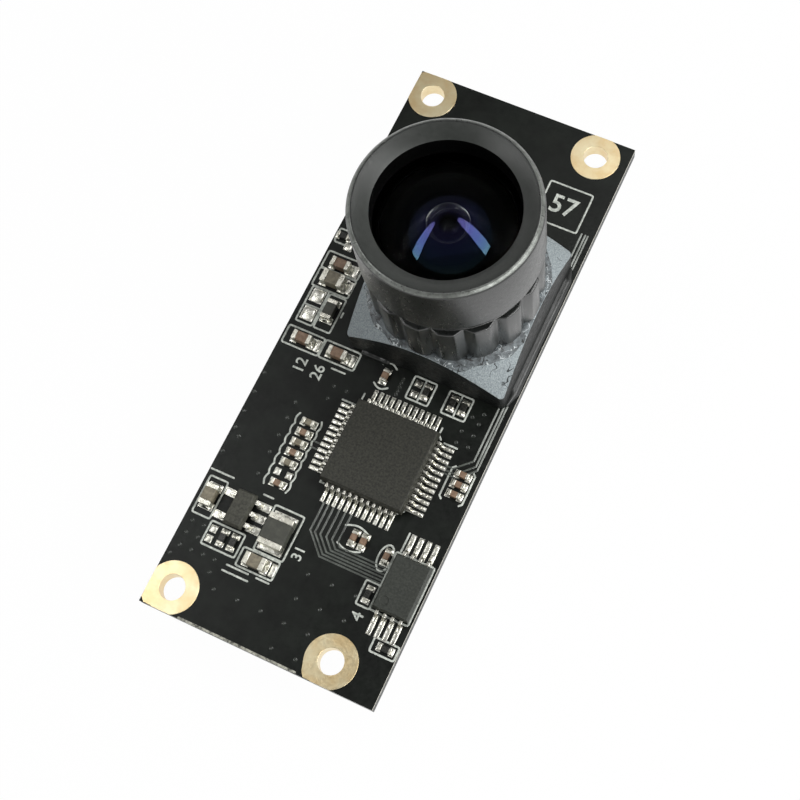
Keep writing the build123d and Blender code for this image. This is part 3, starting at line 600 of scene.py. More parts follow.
def carried(path: np.ndarray, width: float, height: float, closed: bool = False) -> Surface:
    """Low ribbon with a rounded back along a path on the plane z = 0.

    At each path point the cross-section stands on the mitre of the two neighbouring runs:
    point = path + mitre * w/2 * cos(t), z = height * sin(t), cut off a little below 0. The
    mitre is limited at sharp turns. Open ends are drawn in to half circles and closed at a point.

    Args:
        path: array of points by 2.
        width: width of the ribbon.
        height: height of its back.
        closed: whether the path returns to its start.

    Returns:
        The ribbon's closed surface.
    """
    if closed:
        ahead = np.roll(path, -1, axis=0) - path
        behind = path - np.roll(path, 1, axis=0)
    else:
        ahead = np.diff(path, axis=0, append=path[-1:] * 2 - path[-2:-1])
        behind = np.diff(path, axis=0, prepend=path[:1] * 2 - path[1:2])
    ahead = ahead / np.linalg.norm(ahead, axis=1, keepdims=True)
    behind = behind / np.linalg.norm(behind, axis=1, keepdims=True)
    across = np.stack([-(ahead + behind)[:, 1], (ahead + behind)[:, 0]], axis=1)
    sharpest, belly = 0.8, -0.3
    across = across * 2 / np.maximum((across**2).sum(axis=1, keepdims=True), sharpest)
    scale = np.ones(len(path))
    if not closed:
        cap = np.radians([90, 60, 30])
        lead_in = path[0] - np.outer(np.sin(cap), behind[0]) * width / 2
        lead_out = path[-1] + np.outer(np.sin(cap[::-1]), ahead[-1]) * width / 2
        path = np.concatenate([lead_in, path, lead_out])
        across = np.concatenate([np.repeat(across[:1], 3, 0), across, np.repeat(across[-1:], 3, 0)])
        scale = np.concatenate([np.cos(cap), scale, np.cos(cap[::-1])])
    turn = np.radians([0, 40, 90, 140, 180, 270])
    side = np.cos(turn)[None, :, None] * width / 2
    level = np.maximum(np.sin(turn), belly)[None, :] * height
    plan = path[:, None] + across[:, None] * side * scale[:, None, None]
    rise = np.broadcast_to(level, plan.shape[:2]) * scale[:, None]
    grid = np.concatenate([plan, rise[..., None]], axis=2)
    return Surface.from_grid(grid, wrap_columns=True, wrap_rows=closed)


def mound(width: float, length: float, height: float, hollow: bool = False) -> Surface:
    """Pool of solder on a rounded rectangle.

    Plan point = s * (w/2, l/2) * signed power 0.5 of (cos a, sin a), a squared ellipse.
    Height = h * sqrt(1 - s^4) for a swollen pool, or h * (1 - s)^1.6 for a hollow fillet.
    The underside is drawn back to the middle.

    Args:
        width: size along X.
        length: size along Y.
        height: height at the middle.
        hollow: whether the flanks sag as a wetted fillet does.

    Returns:
        The closed surface, centred on X and Y.
    """
    angle = around(20)
    share = np.array([0.0, 0.25, 0.5, 0.7, 0.85, 0.94, 1.0])
    plan_x = np.sign(np.cos(angle)) * np.abs(np.cos(angle)) ** 0.5
    plan_y = np.sign(np.sin(angle)) * np.abs(np.sin(angle)) ** 0.5
    x = share[:, None] * plan_x * width / 2
    y = share[:, None] * plan_y * length / 2
    rise = (1 - share) ** 1.6 if hollow else np.sqrt(1 - share**4)
    z = np.broadcast_to(height * rise[:, None], x.shape)
    under = np.stack([x[::-1], y[::-1], np.full_like(x, -0.01)], axis=-1)
    return Surface.from_grid(np.concatenate([np.stack([x, y, z], axis=-1), under]), wrap_columns=True)


@dataclass
class Bench:
    """Makes finished objects: mesh, material and body in one step.

    Angles are in degrees, and points closer than the weld are merged.
    """

    sharp_angle: float = 32.0
    flat_angle: float = 0.5
    bevel_angle: float = 40.0
    weld: float = 0.0002

    def settle(self, mesh: bpy.types.Mesh, name: str, finish: Dress, slot: str,
               stands_for: tuple[str, ...]) -> bpy.types.Object:
        """Give a mesh its object, finish and body.

        Args:
            mesh: finished mesh in metres.
            name: name of the piece.
            finish: what it is dressed in.
            slot: material slot of the record; not used.
            stands_for: CAD nodes that it replaces.

        Returns:
            The new object.
        """
        mesh.polygons.foreach_set("use_smooth", np.ones(len(mesh.polygons), bool))
        mesh.set_sharp_from_angle(angle=math.radians(self.sharp_angle))
        mesh.materials.clear()
        mesh.materials.append(finish.material())
        piece = bpy.data.objects.new(name, mesh)
        bpy.context.scene.collection.objects.link(piece)
        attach(piece, BODY)
        if stands_for:
            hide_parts(*stands_for)
        log.info("%s: %d faces", name, len(mesh.polygons))
        return piece

    def from_surface(self, surface: Surface, name: str, finish: Dress, slot: str,
                     stands_for: tuple[str, ...] = ()) -> bpy.types.Object:
        """Piece from a surface in millimetres, with its poles merged and its faces outward."""
        mesh = surface.mesh(name)
        work = bmesh.new()
        work.from_mesh(mesh)
        bmesh.ops.remove_doubles(work, verts=work.verts, dist=self.weld * MM)
        bmesh.ops.dissolve_degenerate(work, edges=work.edges, dist=1e-8)
        bmesh.ops.recalc_face_normals(work, faces=work.faces)
        work.to_mesh(mesh)
        work.free()
        return self.settle(mesh, name, finish, slot, stands_for)

    def refined(self, nodes: tuple[str, ...], name: str, finish: Dress, slot: str,
                edge: float, segments: int = 2) -> bpy.types.Object:
        """Merged copy of CAD nodes, with its flat faces made whole and its edges rounded.

        Args:
            nodes: CAD nodes that it stands for.
            name: name of the piece.
            finish: what it is dressed in.
            slot: material slot of the record.
            edge: width of the rounded edges.
            segments: steps of each rounded edge.

        Returns:
            The new object.
        """
        work = bmesh.new()
        for node in nodes:
            work.from_mesh(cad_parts[node].data)
        bmesh.ops.remove_doubles(work, verts=work.verts, dist=self.weld * MM)
        bmesh.ops.dissolve_limit(
            work, angle_limit=math.radians(self.flat_angle), verts=work.verts, edges=work.edges, delimit={"NORMAL"}
        )
        mesh = bpy.data.meshes.new(name)
        work.to_mesh(mesh)
        work.free()
        piece = self.settle(mesh, name, finish, slot, nodes)
        bevel = piece.modifiers.new("rounded_edges", "BEVEL")
        bevel.width = edge * MM
        bevel.segments = segments
        bevel.limit_method = "ANGLE"
        bevel.angle_limit = math.radians(self.bevel_angle)
        return piece

    def zoned(self, piece: bpy.types.Object, finish: Dress,
              chosen: Callable[[np.ndarray], np.ndarray]) -> None:
        """Dress some faces of a piece in another finish.

        Args:
            piece: the piece.
            finish: finish of the chosen faces.
            chosen: gives a mask from the faces' middles in millimetres and their normals, side by side.
        """
        mesh = piece.data
        middles, normals = np.empty(len(mesh.polygons) * 3), np.empty(len(mesh.polygons) * 3)
        mesh.polygons.foreach_get("center", middles)
        mesh.polygons.foreach_get("normal", normals)
        mask = chosen(np.concatenate([middles.reshape(-1, 3) / MM, normals.reshape(-1, 3)], axis=1))
        indices = np.empty(len(mesh.polygons), np.int32)
        mesh.polygons.foreach_get("material_index", indices)
        mesh.materials.append(finish.material())
        indices[mask] = len(mesh.materials) - 1
        mesh.polygons.foreach_set("material_index", indices)

    def dressed(self, node: str, finish: Dress) -> None:
        """Give a CAD node that keeps its own mesh its finish."""
        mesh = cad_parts[node].data
        mesh.materials.clear()
        mesh.materials.append(finish.material())


def box_of(node: str) -> np.ndarray:
    """Lowest and highest corner of a CAD node, in millimetres."""
    return np.array([list(corner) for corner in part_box(node)]) / MM


def solid_boxes(node: str) -> np.ndarray:
    """Box of each separate solid of a CAD node.

    Points that share a place are one point, and each face spreads its lowest label to its
    corners until no label changes.

    Args:
        node: name of the CAD node.

    Returns:
        Array of solids by 2 by 3, lowest and highest corners in millimetres.
    """
    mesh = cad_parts[node].data
    places = np.empty(len(mesh.vertices) * 3)
    mesh.vertices.foreach_get("co", places)
    places = np.round(places.reshape(-1, 3) / MM, 4)
    points, index = np.unique(places, axis=0, return_inverse=True)
    corners = np.empty(len(mesh.loops), int)
    mesh.loops.foreach_get("vertex_index", corners)
    faces = index.reshape(-1)[corners].reshape(-1, 3)
    label = np.arange(len(points))
    changed = True
    while changed:
        lowest = label[faces].min(axis=1)
        fresh = label.copy()
        np.minimum.at(fresh, faces.ravel(), np.repeat(lowest, 3))
        changed = bool((fresh != label).any())
        label = fresh
    return np.array([
        [points[label == root].min(axis=0), points[label == root].max(axis=0)] for root in np.unique(label)
    ])


@dataclass
class Board:
    """Circuit board with plated holes, tracks under the mask and white screen print."""

    bench: Bench
    edge: float = 0.035
    plating_edge: float = 0.02
    track_width: float = 0.14
    track_height: float = 0.022
    ink_width: float = 0.15
    ink_height: float = 0.02
    foil_rise: float = 0.004
    foil_root: float = -0.02

    def __post_init__(self) -> None:
        """Take the board's lower edge and upper face from the frame."""
        low, high = box_of("circuit_board")
        self.lower = low[1]
        self.top = high[2]

    def laminate(self) -> None:
        """Board and hole platings with their edges eased."""
        self.bench.refined(("circuit_board",), "board_laminate", Finishes.mask, "solder_mask", self.edge)
        self.bench.refined(
            ("mounting_hole_platings",), "hole_platings", Finishes.gold, "gold_plating", self.plating_edge
        )

    def tracks(self) -> None:
        """Copper tracks that stand up under the mask: six fan out of the controller and three run down the side."""
        fan_x = (-0.4, 0.0, 0.45, 0.95, 1.45, 1.95)
        fan_y = (-16.25, -16.0, -15.75, -15.5, -15.27, -15.0)
        leads, bend, memory, slant = -12.4, -14.7, 6.2, 1.2
        runs = [
            np.array([(x, leads), (x, bend), (x + bend - y, y), (memory, y)]) for x, y in zip(fan_x, fan_y)
        ]
        runs += [np.array([(-3.4, y), (-2.4, y)]) for y in (-8.35, -8.85)]
        edge_runs = []
        for x, turn in ((8.7, -4.8), (9.02, -5.15), (9.24, -5.4)):
            runs.append(np.array([(x, turn), (x - slant, turn - slant), (6.9, turn - slant)]))
            edge_runs.append(np.array([(x, 16.0), (x, turn)]))
        # Both track finishes carry painted highlights: mid grey on the fan, pale grey on the edge tracks
        for group, name, finish in (
            (runs, "raised_tracks", Finishes.track_mask_painted_highlight), (edge_runs, "edge_tracks", Finishes.edge_track_painted_highlight),
        ):
            parts = [carried(run, self.track_width, self.track_height) for run in group]
            self.bench.from_surface(Surface.joined(parts).placed(0, 0, self.top), name, finish, "solder_mask")

    def vias(self) -> None:
        """Holes between layers, closed by the mask: a low ring with a dimple, turned about its axis."""
        columns = {
            1: (-17.8, -19.8, -21.8, -23.8), 3: (-17.8, -19.8, -21.8, -23.8), 5: (-17.8, -19.8),
            -9: (-17.7, -18.7, -19.75), -8: (-17.7, -18.7, -19.75), -7: (-19.7,), -6: (-19.7,), -9.4: (-20.6,),
            -5.9: (-20.7,), -5: (-21.7,), -3: (-21.7,), -1: (-21.7,), -9.5: (-4.9, -6.6, -8.35, -9.8, -11.9),
            -8.9: (-10.35,), -6.1: (-6.1, -7.5, -9.0, -10.5, -12.4), -3.9: (-3.7, -4.8), -2.8: (-3.7,),
            7.8: (-2.0, -3.0, -4.0), 6.8: (-3.0, -4.0), 7.85: (-1.1,), 7.1: (-1.65,),
            0.85: (-1.0, -1.35, -1.7, -2.05, -2.35),
        }
        radius = np.array([0.17, 0.14, 0.11, 0.08, 0.04, 0.0])[:, None]
        level = np.array([-0.005, 0.012, 0.02, 0.008, 0.002, 0.001])[:, None]
        ring = Surface.revolved(radius, level, around(14))
        vias = Surface.joined([ring.placed(x, y, self.top) for x, column in columns.items() for y in column])
        self.bench.from_surface(vias, "tented_vias", Finishes.via_mask, "solder_mask")

    def corner_foils(self) -> None:
        """Gold that runs on from the pads to the board's corners: thin plates on the pads' level."""
        level = box_of("mounting_hole_platings")[1][2]
        heights = level + np.array([self.foil_root, self.foil_rise, self.foil_rise, self.foil_root])
        inward = np.array([1.0, 1.0, 0.0, 0.0])[:, None, None]
        plates = [
            [(-9.72, -22.85), (-9.72, -24.35), (-9.4, -24.7), (-7.9, -24.72), (-7.9, -24.35), (-9.4, -22.85)],
            [(3.5, -23.4), (3.8, -24.35), (4.08, -24.72), (5.47, -24.72), (5.47, -24.35), (4.4, -24.0), (3.9, -23.4)],
            [(-9.72, 22.85), (-9.4, 22.85), (-7.9, 24.35), (-7.9, 24.72), (-9.5, 24.72), (-9.72, 24.5)],
        ]
        parts = []
        for plate in plates:
            middle = np.mean(plate, axis=0)
            plan = middle + (np.array(plate) - middle) * inward
            rise = np.broadcast_to(heights[:, None, None], (*plan.shape[:2], 1))
            parts.append(Surface.from_grid(np.concatenate([plan, rise], axis=2), wrap_columns=True, wrap_rows=True))
        self.bench.from_surface(Surface.joined(parts), "corner_pad_foils", Finishes.gold, "gold_plating")

    def frayed_edge(self) -> None:
        """Mask rubbed off along the lower edge: a thin line of bare fibres that wanders a little."""
        inset, wander, width, height = 0.1, 0.02, 0.17, 0.012
        along = np.linspace(-6.4, 3.4, 50)
        path = np.stack([along, self.lower + inset + wander * wobble(along, 21, 9)], axis=1)
        worn = carried(path, width, height).placed(0, 0, self.top)
        self.bench.from_surface(worn, "frayed_lower_edge", Finishes.frayed_fibres, "solder_mask")

    def print_lines(self) -> None:
        """Outlines and brackets of the screen print."""
        frames = [
            (-9.55, 7.5, -8.5, 8.75), (-9.5, 5.05, -6.25, 6.6), (-9.5, 3.35, -6.25, 5.0), (-9.3, 0.1, -7.85, 3.3),
            (-7.7, 0.1, -6.25, 3.2), (-9.5, -2.0, -6.3, -0.45), (-6.2, -2.0, -3.1, -0.45),
            (1.6, -2.3, 3.5, -0.35), (4.65, -2.3, 6.65, -0.35), (6.35, -18.25, 9.5, -13.55),
            (5.2, -18.3, 6.35, -16.35), (7.65, -21.0, 9.65, -19.9), (-9.4, -17.1, -7.85, -14.0),
            (-3.7, -17.8, -1.2, -14.05), (-7.6, -19.0, -4.7, -17.1), (-4.4, -19.4, -1.3, -17.9),
            (4.5, 15.85, 8.25, 19.5),
        ]
        lines = [
            ((-9.3, 1.65), (-7.85, 1.65)), ((2.6, -2.3), (2.6, -0.35)), ((5.7, -2.3), (5.7, -0.35)),
            ((-6.0, 1.7), (-6.0, 2.1)), ((-4.75, -2.45), (-3.6, -2.45)), ((-1.42, -3.3), (-1.42, -3.8)),
            ((-2.8, -4.42), (-1.65, -4.42)), ((6.0, -4.45), (7.08, -4.45)),
            ((5.35, -3.4), (5.35, -4.0), (5.65, -4.3)), ((-1.4, -10.75), (-1.4, -11.05), (-1.1, -11.05)),
            ((5.1, -10.9), (5.5, -10.55)), ((-4.9, -13.7), (-4.1, -13.7)),
            ((6.63, -11.9), (6.63, -13.4)), ((-9.6, -13.5), (-7.65, -13.5)),
            ((-4.95, -19.65), (-3.15, -19.65)), ((-2.45, -19.65), (-1.4, -19.65)), ((-5.1, -20.15), (-2.95, -20.15)),
            ((7.6, -5.75), (7.4, -5.95), (7.4, -8.3), (7.6, -8.5)),
            ((9.1, -5.75), (9.3, -5.95), (9.3, -8.3), (9.1, -8.5)),
        ]
        shapes = [carried(np.array(line, float), self.ink_width, self.ink_height) for line in lines]
        for left, lower, right, upper in frames:
            corners = np.array([(left, lower), (right, lower), (right, upper), (left, upper)], float)
            shapes.append(carried(rounded(corners, 0.15, 3), self.ink_width, self.ink_height, closed=True))
        shapes += [
            self.curved_bracket(-0.57, -0.2, 1.0), self.curved_bracket(-0.57, -2.45, -1.0),
            self.curved_bracket(2.85, -13.0, 1.0, 0.95), self.curved_bracket(2.85, -15.0, -1.0, 0.95),
            self.scalloped_side(-5.35, -1.0), self.scalloped_side(-3.45, 1.0),
        ]
        angle = around(32)
        oval = np.stack([5.75 + 0.55 * np.cos(angle), -14.35 + 1.05 * np.sin(angle)], axis=1)
        shapes.append(carried(oval, self.ink_width, self.ink_height, closed=True))
        printed = Surface.joined(shapes).placed(0, 0, self.top)
        self.bench.from_surface(printed, "screen_printed_lines", Finishes.ink, "solder_mask")

    def curved_bracket(self, x: float, y: float, side: float, half: float = 0.6) -> Surface:
        """Bracket over a chip's end: the half wave y + side * 0.28 * (cos(pi t / 2) - 1), t from -1 to 1."""
        share = np.linspace(-1, 1, 12)
        path = np.stack([x + half * share, y + side * 0.28 * (np.cos(share * np.pi / 2) - 1)], axis=1)
        return carried(path, self.ink_width, self.ink_height)

    def scalloped_side(self, x: float, side: float) -> Surface:
        """Side line of the chip column that swells beside each chip: x + side * 0.13 * |sin|."""
        count, start, pitch = 7, -6.75, 0.88
        share = np.linspace(0, count, 8 * count + 1)
        path = np.stack([x + side * 0.13 * np.abs(np.sin(share * np.pi)), start - share * pitch], axis=1)
        return carried(path, self.ink_width, self.ink_height)

    def print_numbers(self) -> None:
        """Plain numbers beside the parts, from the built-in font."""
        numbers = [
            ("12", -7.15, -3.2, 90, 1.3), ("26", -5.6, -3.2, 90, 1.3), ("31", -0.36, -16.7, 90, 1.15),
            ("4", 5.8, -19.1, 90, 1.3), ("57", 6.35, 17.65, 0, 2.3),
        ]
        lift, swell, depth = 0.012, 0.012, 0.01
        work = bmesh.new()
        for text, x, y, turn, size in numbers:
            curve = bpy.data.curves.new("number", "FONT")
            curve.body = text
            curve.align_x, curve.align_y = "CENTER", "CENTER"
            curve.offset = swell
            curve.extrude = depth / size
            curve.resolution_u = 3
            holder = bpy.data.objects.new("number", curve)
            bpy.context.scene.collection.objects.link(holder)
            bpy.context.view_layer.update()
            mesh = bpy.data.meshes.new_from_object(holder)
            mesh.transform(
                Matrix.Translation(Vector((x, y, self.top + lift)) * MM)
                @ Matrix.Rotation(math.radians(turn), 4, "Z") @ Matrix.Scale(size * MM, 4)
            )
            work.from_mesh(mesh)
            bpy.data.meshes.remove(mesh)
            bpy.data.objects.remove(holder)
            bpy.data.curves.remove(curve)
        whole = bpy.data.meshes.new("printed_numbers")
        work.to_mesh(whole)
        work.free()
        self.bench.settle(whole, "printed_numbers", Finishes.ink, "solder_mask", ())

    def build(self) -> None:
        """Build the board and everything printed or etched on it."""
        self.laminate()
        self.corner_foils()
        self.frayed_edge()
        self.tracks()
        self.vias()
        self.print_lines()
        self.print_numbers()


@dataclass
class SolderWork:
    """Pools of solder on every pad and wetted fillets at the ends of the chips."""

    bench: Bench
    pool_height: float = 0.07
    bare_pool_height: float = 0.112
    pool_sink: float = 0.03
    fillet_reach: float = 0.2
    fillet_share: float = 0.62
    fillet_spread: float = 0.12

    def pools(self, node: str, name: str, height: float) -> None:
        """Swollen pool over each pad of a node, a quarter higher or lower than the height given."""
        parts = []
        random = np.random.default_rng(5)
        for low, high in solid_boxes(node):
            rise = height * random.uniform(0.75, 1.25)
            middle = (low + high) / 2
            parts.append(mound(*(high - low)[:2], rise).placed(*middle[:2], high[2] - self.pool_sink))
        self.bench.from_surface(Surface.joined(parts), name, Finishes.solder, "tinned_copper")

    def fillets(self) -> None:
        """Hollow fillet outside each end cap on the upper face, away from the cap's mate."""
        parts = []
        for node in ("capacitor_end_caps", "resistor_end_caps", "ferrite_bead_end_caps"):
            boxes = solid_boxes(node)
            middles = boxes.mean(axis=1)
            for index, (low, high) in enumerate(boxes):
                gaps = np.linalg.norm(middles[:, :2] - middles[index, :2], axis=1)
                gaps[index] = np.inf
                away = middles[index, :2] - middles[gaps.argmin(), :2]
                axis = int(abs(away[1]) > abs(away[0]))
                size = high - low
                across = size[1 - axis] + self.fillet_spread
                shape = mound(2 * self.fillet_reach, across, size[2] * self.fillet_share, hollow=True)
                spot = middles[index].copy()
                spot[axis] = (high if away[axis] > 0 else low)[axis]
                parts.append(shape.placed(*spot[:2], low[2], 90 * axis))
        self.bench.from_surface(Surface.joined(parts), "chip_solder_fillets", Finishes.solder, "tinned_copper")

    def build(self) -> None:
        """Solder both faces of the board."""
        for node in ("solder_pads", "bare_solder_pads", "underside_solder_pads"):
            self.bench.dressed(node, Finishes.solder)
        self.pools("solder_pads", "solder_pools", self.pool_height)
        self.pools("bare_solder_pads", "bare_pad_solder", self.bare_pool_height)
        self.fillets()


@dataclass
class Chips:
    """Moulded packages with their leads, the inductor and the two-terminal chips."""

    bench: Bench
    package_edge: float = 0.05
    lead_edge: float = 0.03
    chip_edge: float = 0.025
    cap_edge: float = 0.05

    def packages(self) -> None:
        """Three moulded packages and their leads."""
        for part, finish in (
            ("controller", Finishes.epoxy), ("memory_chip", Finishes.memory_epoxy), ("regulator", Finishes.pale_epoxy),
        ):
            self.bench.refined((f"{part}_body",), f"{part}_package", finish, "package_epoxy", self.package_edge, 3)
            self.bench.refined(
                (f"{part}_leads",), f"{part}_tinned_leads", Finishes.lead_tin, "tinned_leads", self.lead_edge
            )

    def two_terminal(self) -> None:
        """Ceramic and resistive chips, with softer edges on their plated ends."""
        bodies = {
            "brown_capacitor_bodies": (Finishes.brown_ceramic, "brown_ceramic"),
            "beige_capacitor_bodies": (Finishes.beige_ceramic, "beige_ceramic"),
            "resistor_bodies": (Finishes.resistor_glaze, "resistor_ceramic"),
            "ferrite_bead_body": (Finishes.ferrite, "ferrite"),
            "inductor_core": (Finishes.ferrite, "ferrite"),
            "underside_capacitor_bodies": (Finishes.brown_ceramic, "brown_ceramic"),
        }
        for node, (finish, slot) in bodies.items():
            self.bench.refined((node,), f"fired_{node}", finish, slot, self.chip_edge)
        for node in (
            "capacitor_end_caps", "resistor_end_caps", "ferrite_bead_end_caps", "inductor_terminals",
            "underside_capacitor_end_caps",
        ):
            self.bench.refined((node,), f"plated_{node}", Finishes.cap_tin, "tinned_leads", self.cap_edge, 3)

    def build(self) -> None:
        """Build every chip."""
        self.packages()
        self.two_terminal()


@dataclass
class LensHolder:
    """Square moulded holder with its glue, and the adhesive that locks the lens."""

    bench: Bench
    edge: float = 0.12
    crown_inset: float = 0.1
    corner_height: float = 2.3
    corner_radius: float = 0.4
    wall_gap: float = 0.04
    thread_radius: float = 5.95
    film: float = 0.12
    lump: float = 0.07
    overhang: float = 0.95

    def __post_init__(self) -> None:
        """Take the holder's place and size from the frame."""
        self.low, self.high = box_of("lens_holder")
        self.centre = (self.low + self.high)[:2] / 2
        self.half = (self.high - self.low)[0] / 2
        self.crown = self.half - self.crown_inset

    def cone_height(self, radius: np.ndarray) -> np.ndarray:
        """Height of the holder's turned-down corners at a radius: level to the crown, then straight down."""
        reach = self.half * math.sqrt(2) - self.corner_radius * (math.sqrt(2) - 1)
        drop = (self.high[2] - self.low[2] - self.corner_height) / (reach - self.crown)
        return self.high[2] - np.maximum(radius - self.crown, 0) * drop

    def adhesive(self) -> None:
        """Ring of adhesive under the grip that creeps down the corners.

        Radius runs from the thread to an uneven reach, held inside the square. Height is the
        holder's own surface plus a film that swells under the grip and thins to nothing, with
        lumps of two waves across and along.
        """
        angle = around(360)
        wall = (self.half - self.wall_gap) / np.maximum(np.abs(np.cos(angle)), np.abs(np.sin(angle)))
        creep = self.crown + self.overhang * (0.6 + 0.6 * wobble(angle, 3, 26))
        share = np.linspace(0, 1, 20)[:, None]
        radius = self.thread_radius + (np.minimum(wall, creep) - self.thread_radius) * share
        lumps = self.lump * wobble(angle, 8, 50) * np.sin(share * 14 + 5 * wobble(angle, 4, 12))
        thickness = self.film * (1 - share**3) + lumps * share * (1 - share) * 4
        seat = self.cone_height(radius)
        height = seat + np.clip(thickness, 0.01, self.film)
        skin = Surface.revolved(
            np.concatenate([radius, radius[::-1]]), np.concatenate([height, seat[::-1] - 0.01]), angle, closed=True
        )
        self.bench.from_surface(
            skin.placed(*self.centre), "lens_locking_adhesive", Finishes.adhesive, "thread_adhesive",
            ("lens_adhesive_ring",),
        )

    def glue(self) -> None:
        """Glue along the holder's walls: a quarter ellipse carried along each bead, uneven along its length."""
        parts = []
        for low, high in solid_boxes("holder_glue_beads"):
            size = high - low
            along = int(size[1] > size[0])
            run = np.linspace(0, 1, 60)
            swell = 0.93 + 0.07 * wobble(run * 2 * np.pi, 11 + along, 4)
            swell = swell * np.minimum(1, 8 * np.minimum(run, 1 - run) + 0.3)
            turn = np.radians(np.linspace(0, 90, 8))
            reach = size[1 - along] * swell[:, None] * np.sin(turn)
            rise = size[2] * swell[:, None] * np.cos(turn)
            grid = np.empty((len(run), len(turn), 3))
            grid[..., along] = (low[along] + size[along] * run)[:, None]
            grid[..., 1 - along] = low[0] + reach if along else high[1] - reach
            grid[..., 2] = low[2] + rise
            parts.append(Surface.from_grid(grid))
        self.bench.from_surface(
            Surface.joined(parts), "holder_glue", Finishes.glue, "black_glue", ("holder_glue_beads",)
        )

    def build(self) -> None:
        """Build the holder and its glue."""
        self.bench.refined(("lens_holder",), "moulded_lens_holder", Finishes.holder, "holder_plastic", self.edge, 3)
        self.adhesive()
        self.glue()


@dataclass
class Lens:
    """Turned barrel with its fluted grip, the dished ring and the glass inside.

    Heights are above the underside of the board, radii from the lens axis.
    """

    bench: Bench
    thread_radius: float = 5.838
    neck_radius: float = 6.2
    front_radius: float = 6.84
    grip_radius: float = 6.7
    ring_radius: float = 6.4
    opening: float = 5.28
    dish: float = 0.65
    grip_bottom: float = 6.47
    grip_top: float = 11.6
    neck_top: float = 13.25
    glass_seat: float = 14.65
    glass_rim: float = 1.9
    dome_curve: float = 12.0
    hollow_curve: float = 8.0
    hollow_aperture: float = 3.9
    second_height: float = 1.6
    second_curve: float = 5.2
    second_aperture: float = 2.2
    third_curve: float = 9.6
    third_aperture: float = 3.0
    front_bore: float = 4.57
    web_top: float = 11.5
    web_bore: float = 2.3
    web_bottom: float = 10.9
    middle_bore: float = 3.17
    rear_seat: float = 10.2
    rear_bore: float = 4.02
    third_bottom: float = 8.8
    play: float = 0.02
    flutes: int = 16
    flute_angle: float = 12.5
    flute_depth: float = 0.45
    flute_floor: float = 0.93
    flute_ease: float = 0.08
    flute_turn: float = 32.0
    edge: float = 0.16
    lip: float = 0.27
    grip_inside: float = 6.0
    bore_reach: float = 5.0
    collar_radius: float = 1.56
    pupil_radius: float = 0.57

    def __post_init__(self) -> None:
        """Take the axis and the two ends from the frame."""
        low, high = box_of("lens_barrel")
        self.centre = (low + high)[:2] / 2
        self.shank_bottom = low[2]
        self.front = high[2]

    def turned(self, profile: np.ndarray, angle: np.ndarray, cut: np.ndarray | None = None) -> Surface:
        """Closed surface of revolution about the lens axis.

        Args:
            profile: closed outline of radius and height.
            angle: angles of the columns.
            cut: optional depth by row and column, taken off the radius.

        Returns:
            The closed surface.
        """
        radius = profile[:, :1] - (0 if cut is None else cut)
        return Surface.revolved(radius, profile[:, 1:], angle, closed=True).placed(*self.centre)

    def grip_angles(self) -> tuple[np.ndarray, np.ndarray]:
        """Columns crowded at the flutes' lips and floors, and the depth there: a V with eased lip and floor."""
        offset = np.array([
            -11.25, -9.5, -8.0, -7.1, -6.6, -6.25, -5.9, -5.4, -4.2, -2.8, -1.5, -0.8, -0.3,
            0.3, 0.8, 1.5, 2.8, 4.2, 5.4, 5.9, 6.25, 6.6, 7.1, 8.0, 9.5,
        ])
        pitch = 360 / self.flutes
        start = self.flute_turn - 90 + np.arange(self.flutes) * pitch
        angle = np.radians((start[:, None] + offset).ravel())
        slope = 1 - np.abs(offset) / (self.flute_angle / 2)
        eased = (slope + np.sqrt(slope**2 + self.flute_ease**2)) / 2
        depth = self.flute_depth * np.minimum(eased, self.flute_floor)
        depth = np.where(np.abs(offset) > 8, 0, depth)
        return angle, np.tile(depth, self.flutes)

    def barrel(self) -> None:
        """Barrel in one turned piece; only the rows on the grip's outside take the flutes."""
        seat = self.ring_radius + 0.004
        corners = np.array([
            (seat, self.front - 0.35), (seat, self.front - 0.02), (seat, self.front),
            (self.front_radius - self.lip, self.front),
            (self.front_radius, self.front - self.lip), (self.front_radius, self.neck_top),
            (self.neck_radius, self.neck_top), (self.neck_radius, self.grip_top),
            (self.grip_radius, self.grip_top), (self.grip_radius, self.grip_bottom),
            (self.thread_radius, self.grip_bottom), (self.thread_radius, self.shank_bottom),
            (self.rear_bore, self.shank_bottom), (self.rear_bore, self.rear_seat),
            (self.middle_bore, self.rear_seat), (self.middle_bore, self.web_bottom),
            (self.web_bore, self.web_bottom), (self.web_bore, self.web_top),
            (self.front_bore, self.web_top), (self.front_bore, self.glass_seat), (seat, self.glass_seat),
        ])
        profile = rounded(corners, self.edge, 5)
        on_grip = (profile[:, 1] > self.grip_bottom - 0.01) & (profile[:, 1] < self.grip_top + 0.01)
        on_grip &= profile[:, 0] > self.neck_radius + 0.05
        angle, depth = self.grip_angles()
        shape = self.turned(profile, angle, on_grip[:, None] * depth)
        barrel = self.bench.from_surface(
            shape, "fluted_lens_barrel", Finishes.anodise, "anodised_barrel", ("lens_barrel",)
        )
        self.bench.zoned(barrel, Finishes.milled_anodise, self.on_grip)
        self.bench.zoned(barrel, Finishes.inner_anodise, self.in_bore)
        # The lip's finish is a painted highlight
        self.bench.zoned(barrel, Finishes.lip_painted_highlight_anodise, self.on_lip)

    def reach(self, faces: np.ndarray) -> np.ndarray:
        """Distance of each face's middle from the lens axis."""
        return np.hypot(faces[:, 0] - self.centre[0], faces[:, 1] - self.centre[1])

    def on_grip(self, faces: np.ndarray) -> np.ndarray:
        """Faces that the flutes are milled into."""
        height = faces[:, 2]
        return (height > self.grip_bottom) & (height < self.grip_top) & (self.reach(faces) > self.grip_inside)

    def on_lip(self, faces: np.ndarray) -> np.ndarray:
        """Faces of the eased front lip."""
        return (faces[:, 2] > self.front - 0.75 * self.lip) & (self.reach(faces) > self.ring_radius + 0.1)

    def in_bore(self, faces: np.ndarray) -> np.ndarray:
        """Faces of the stepped bores."""
        return self.reach(faces) < self.bore_reach

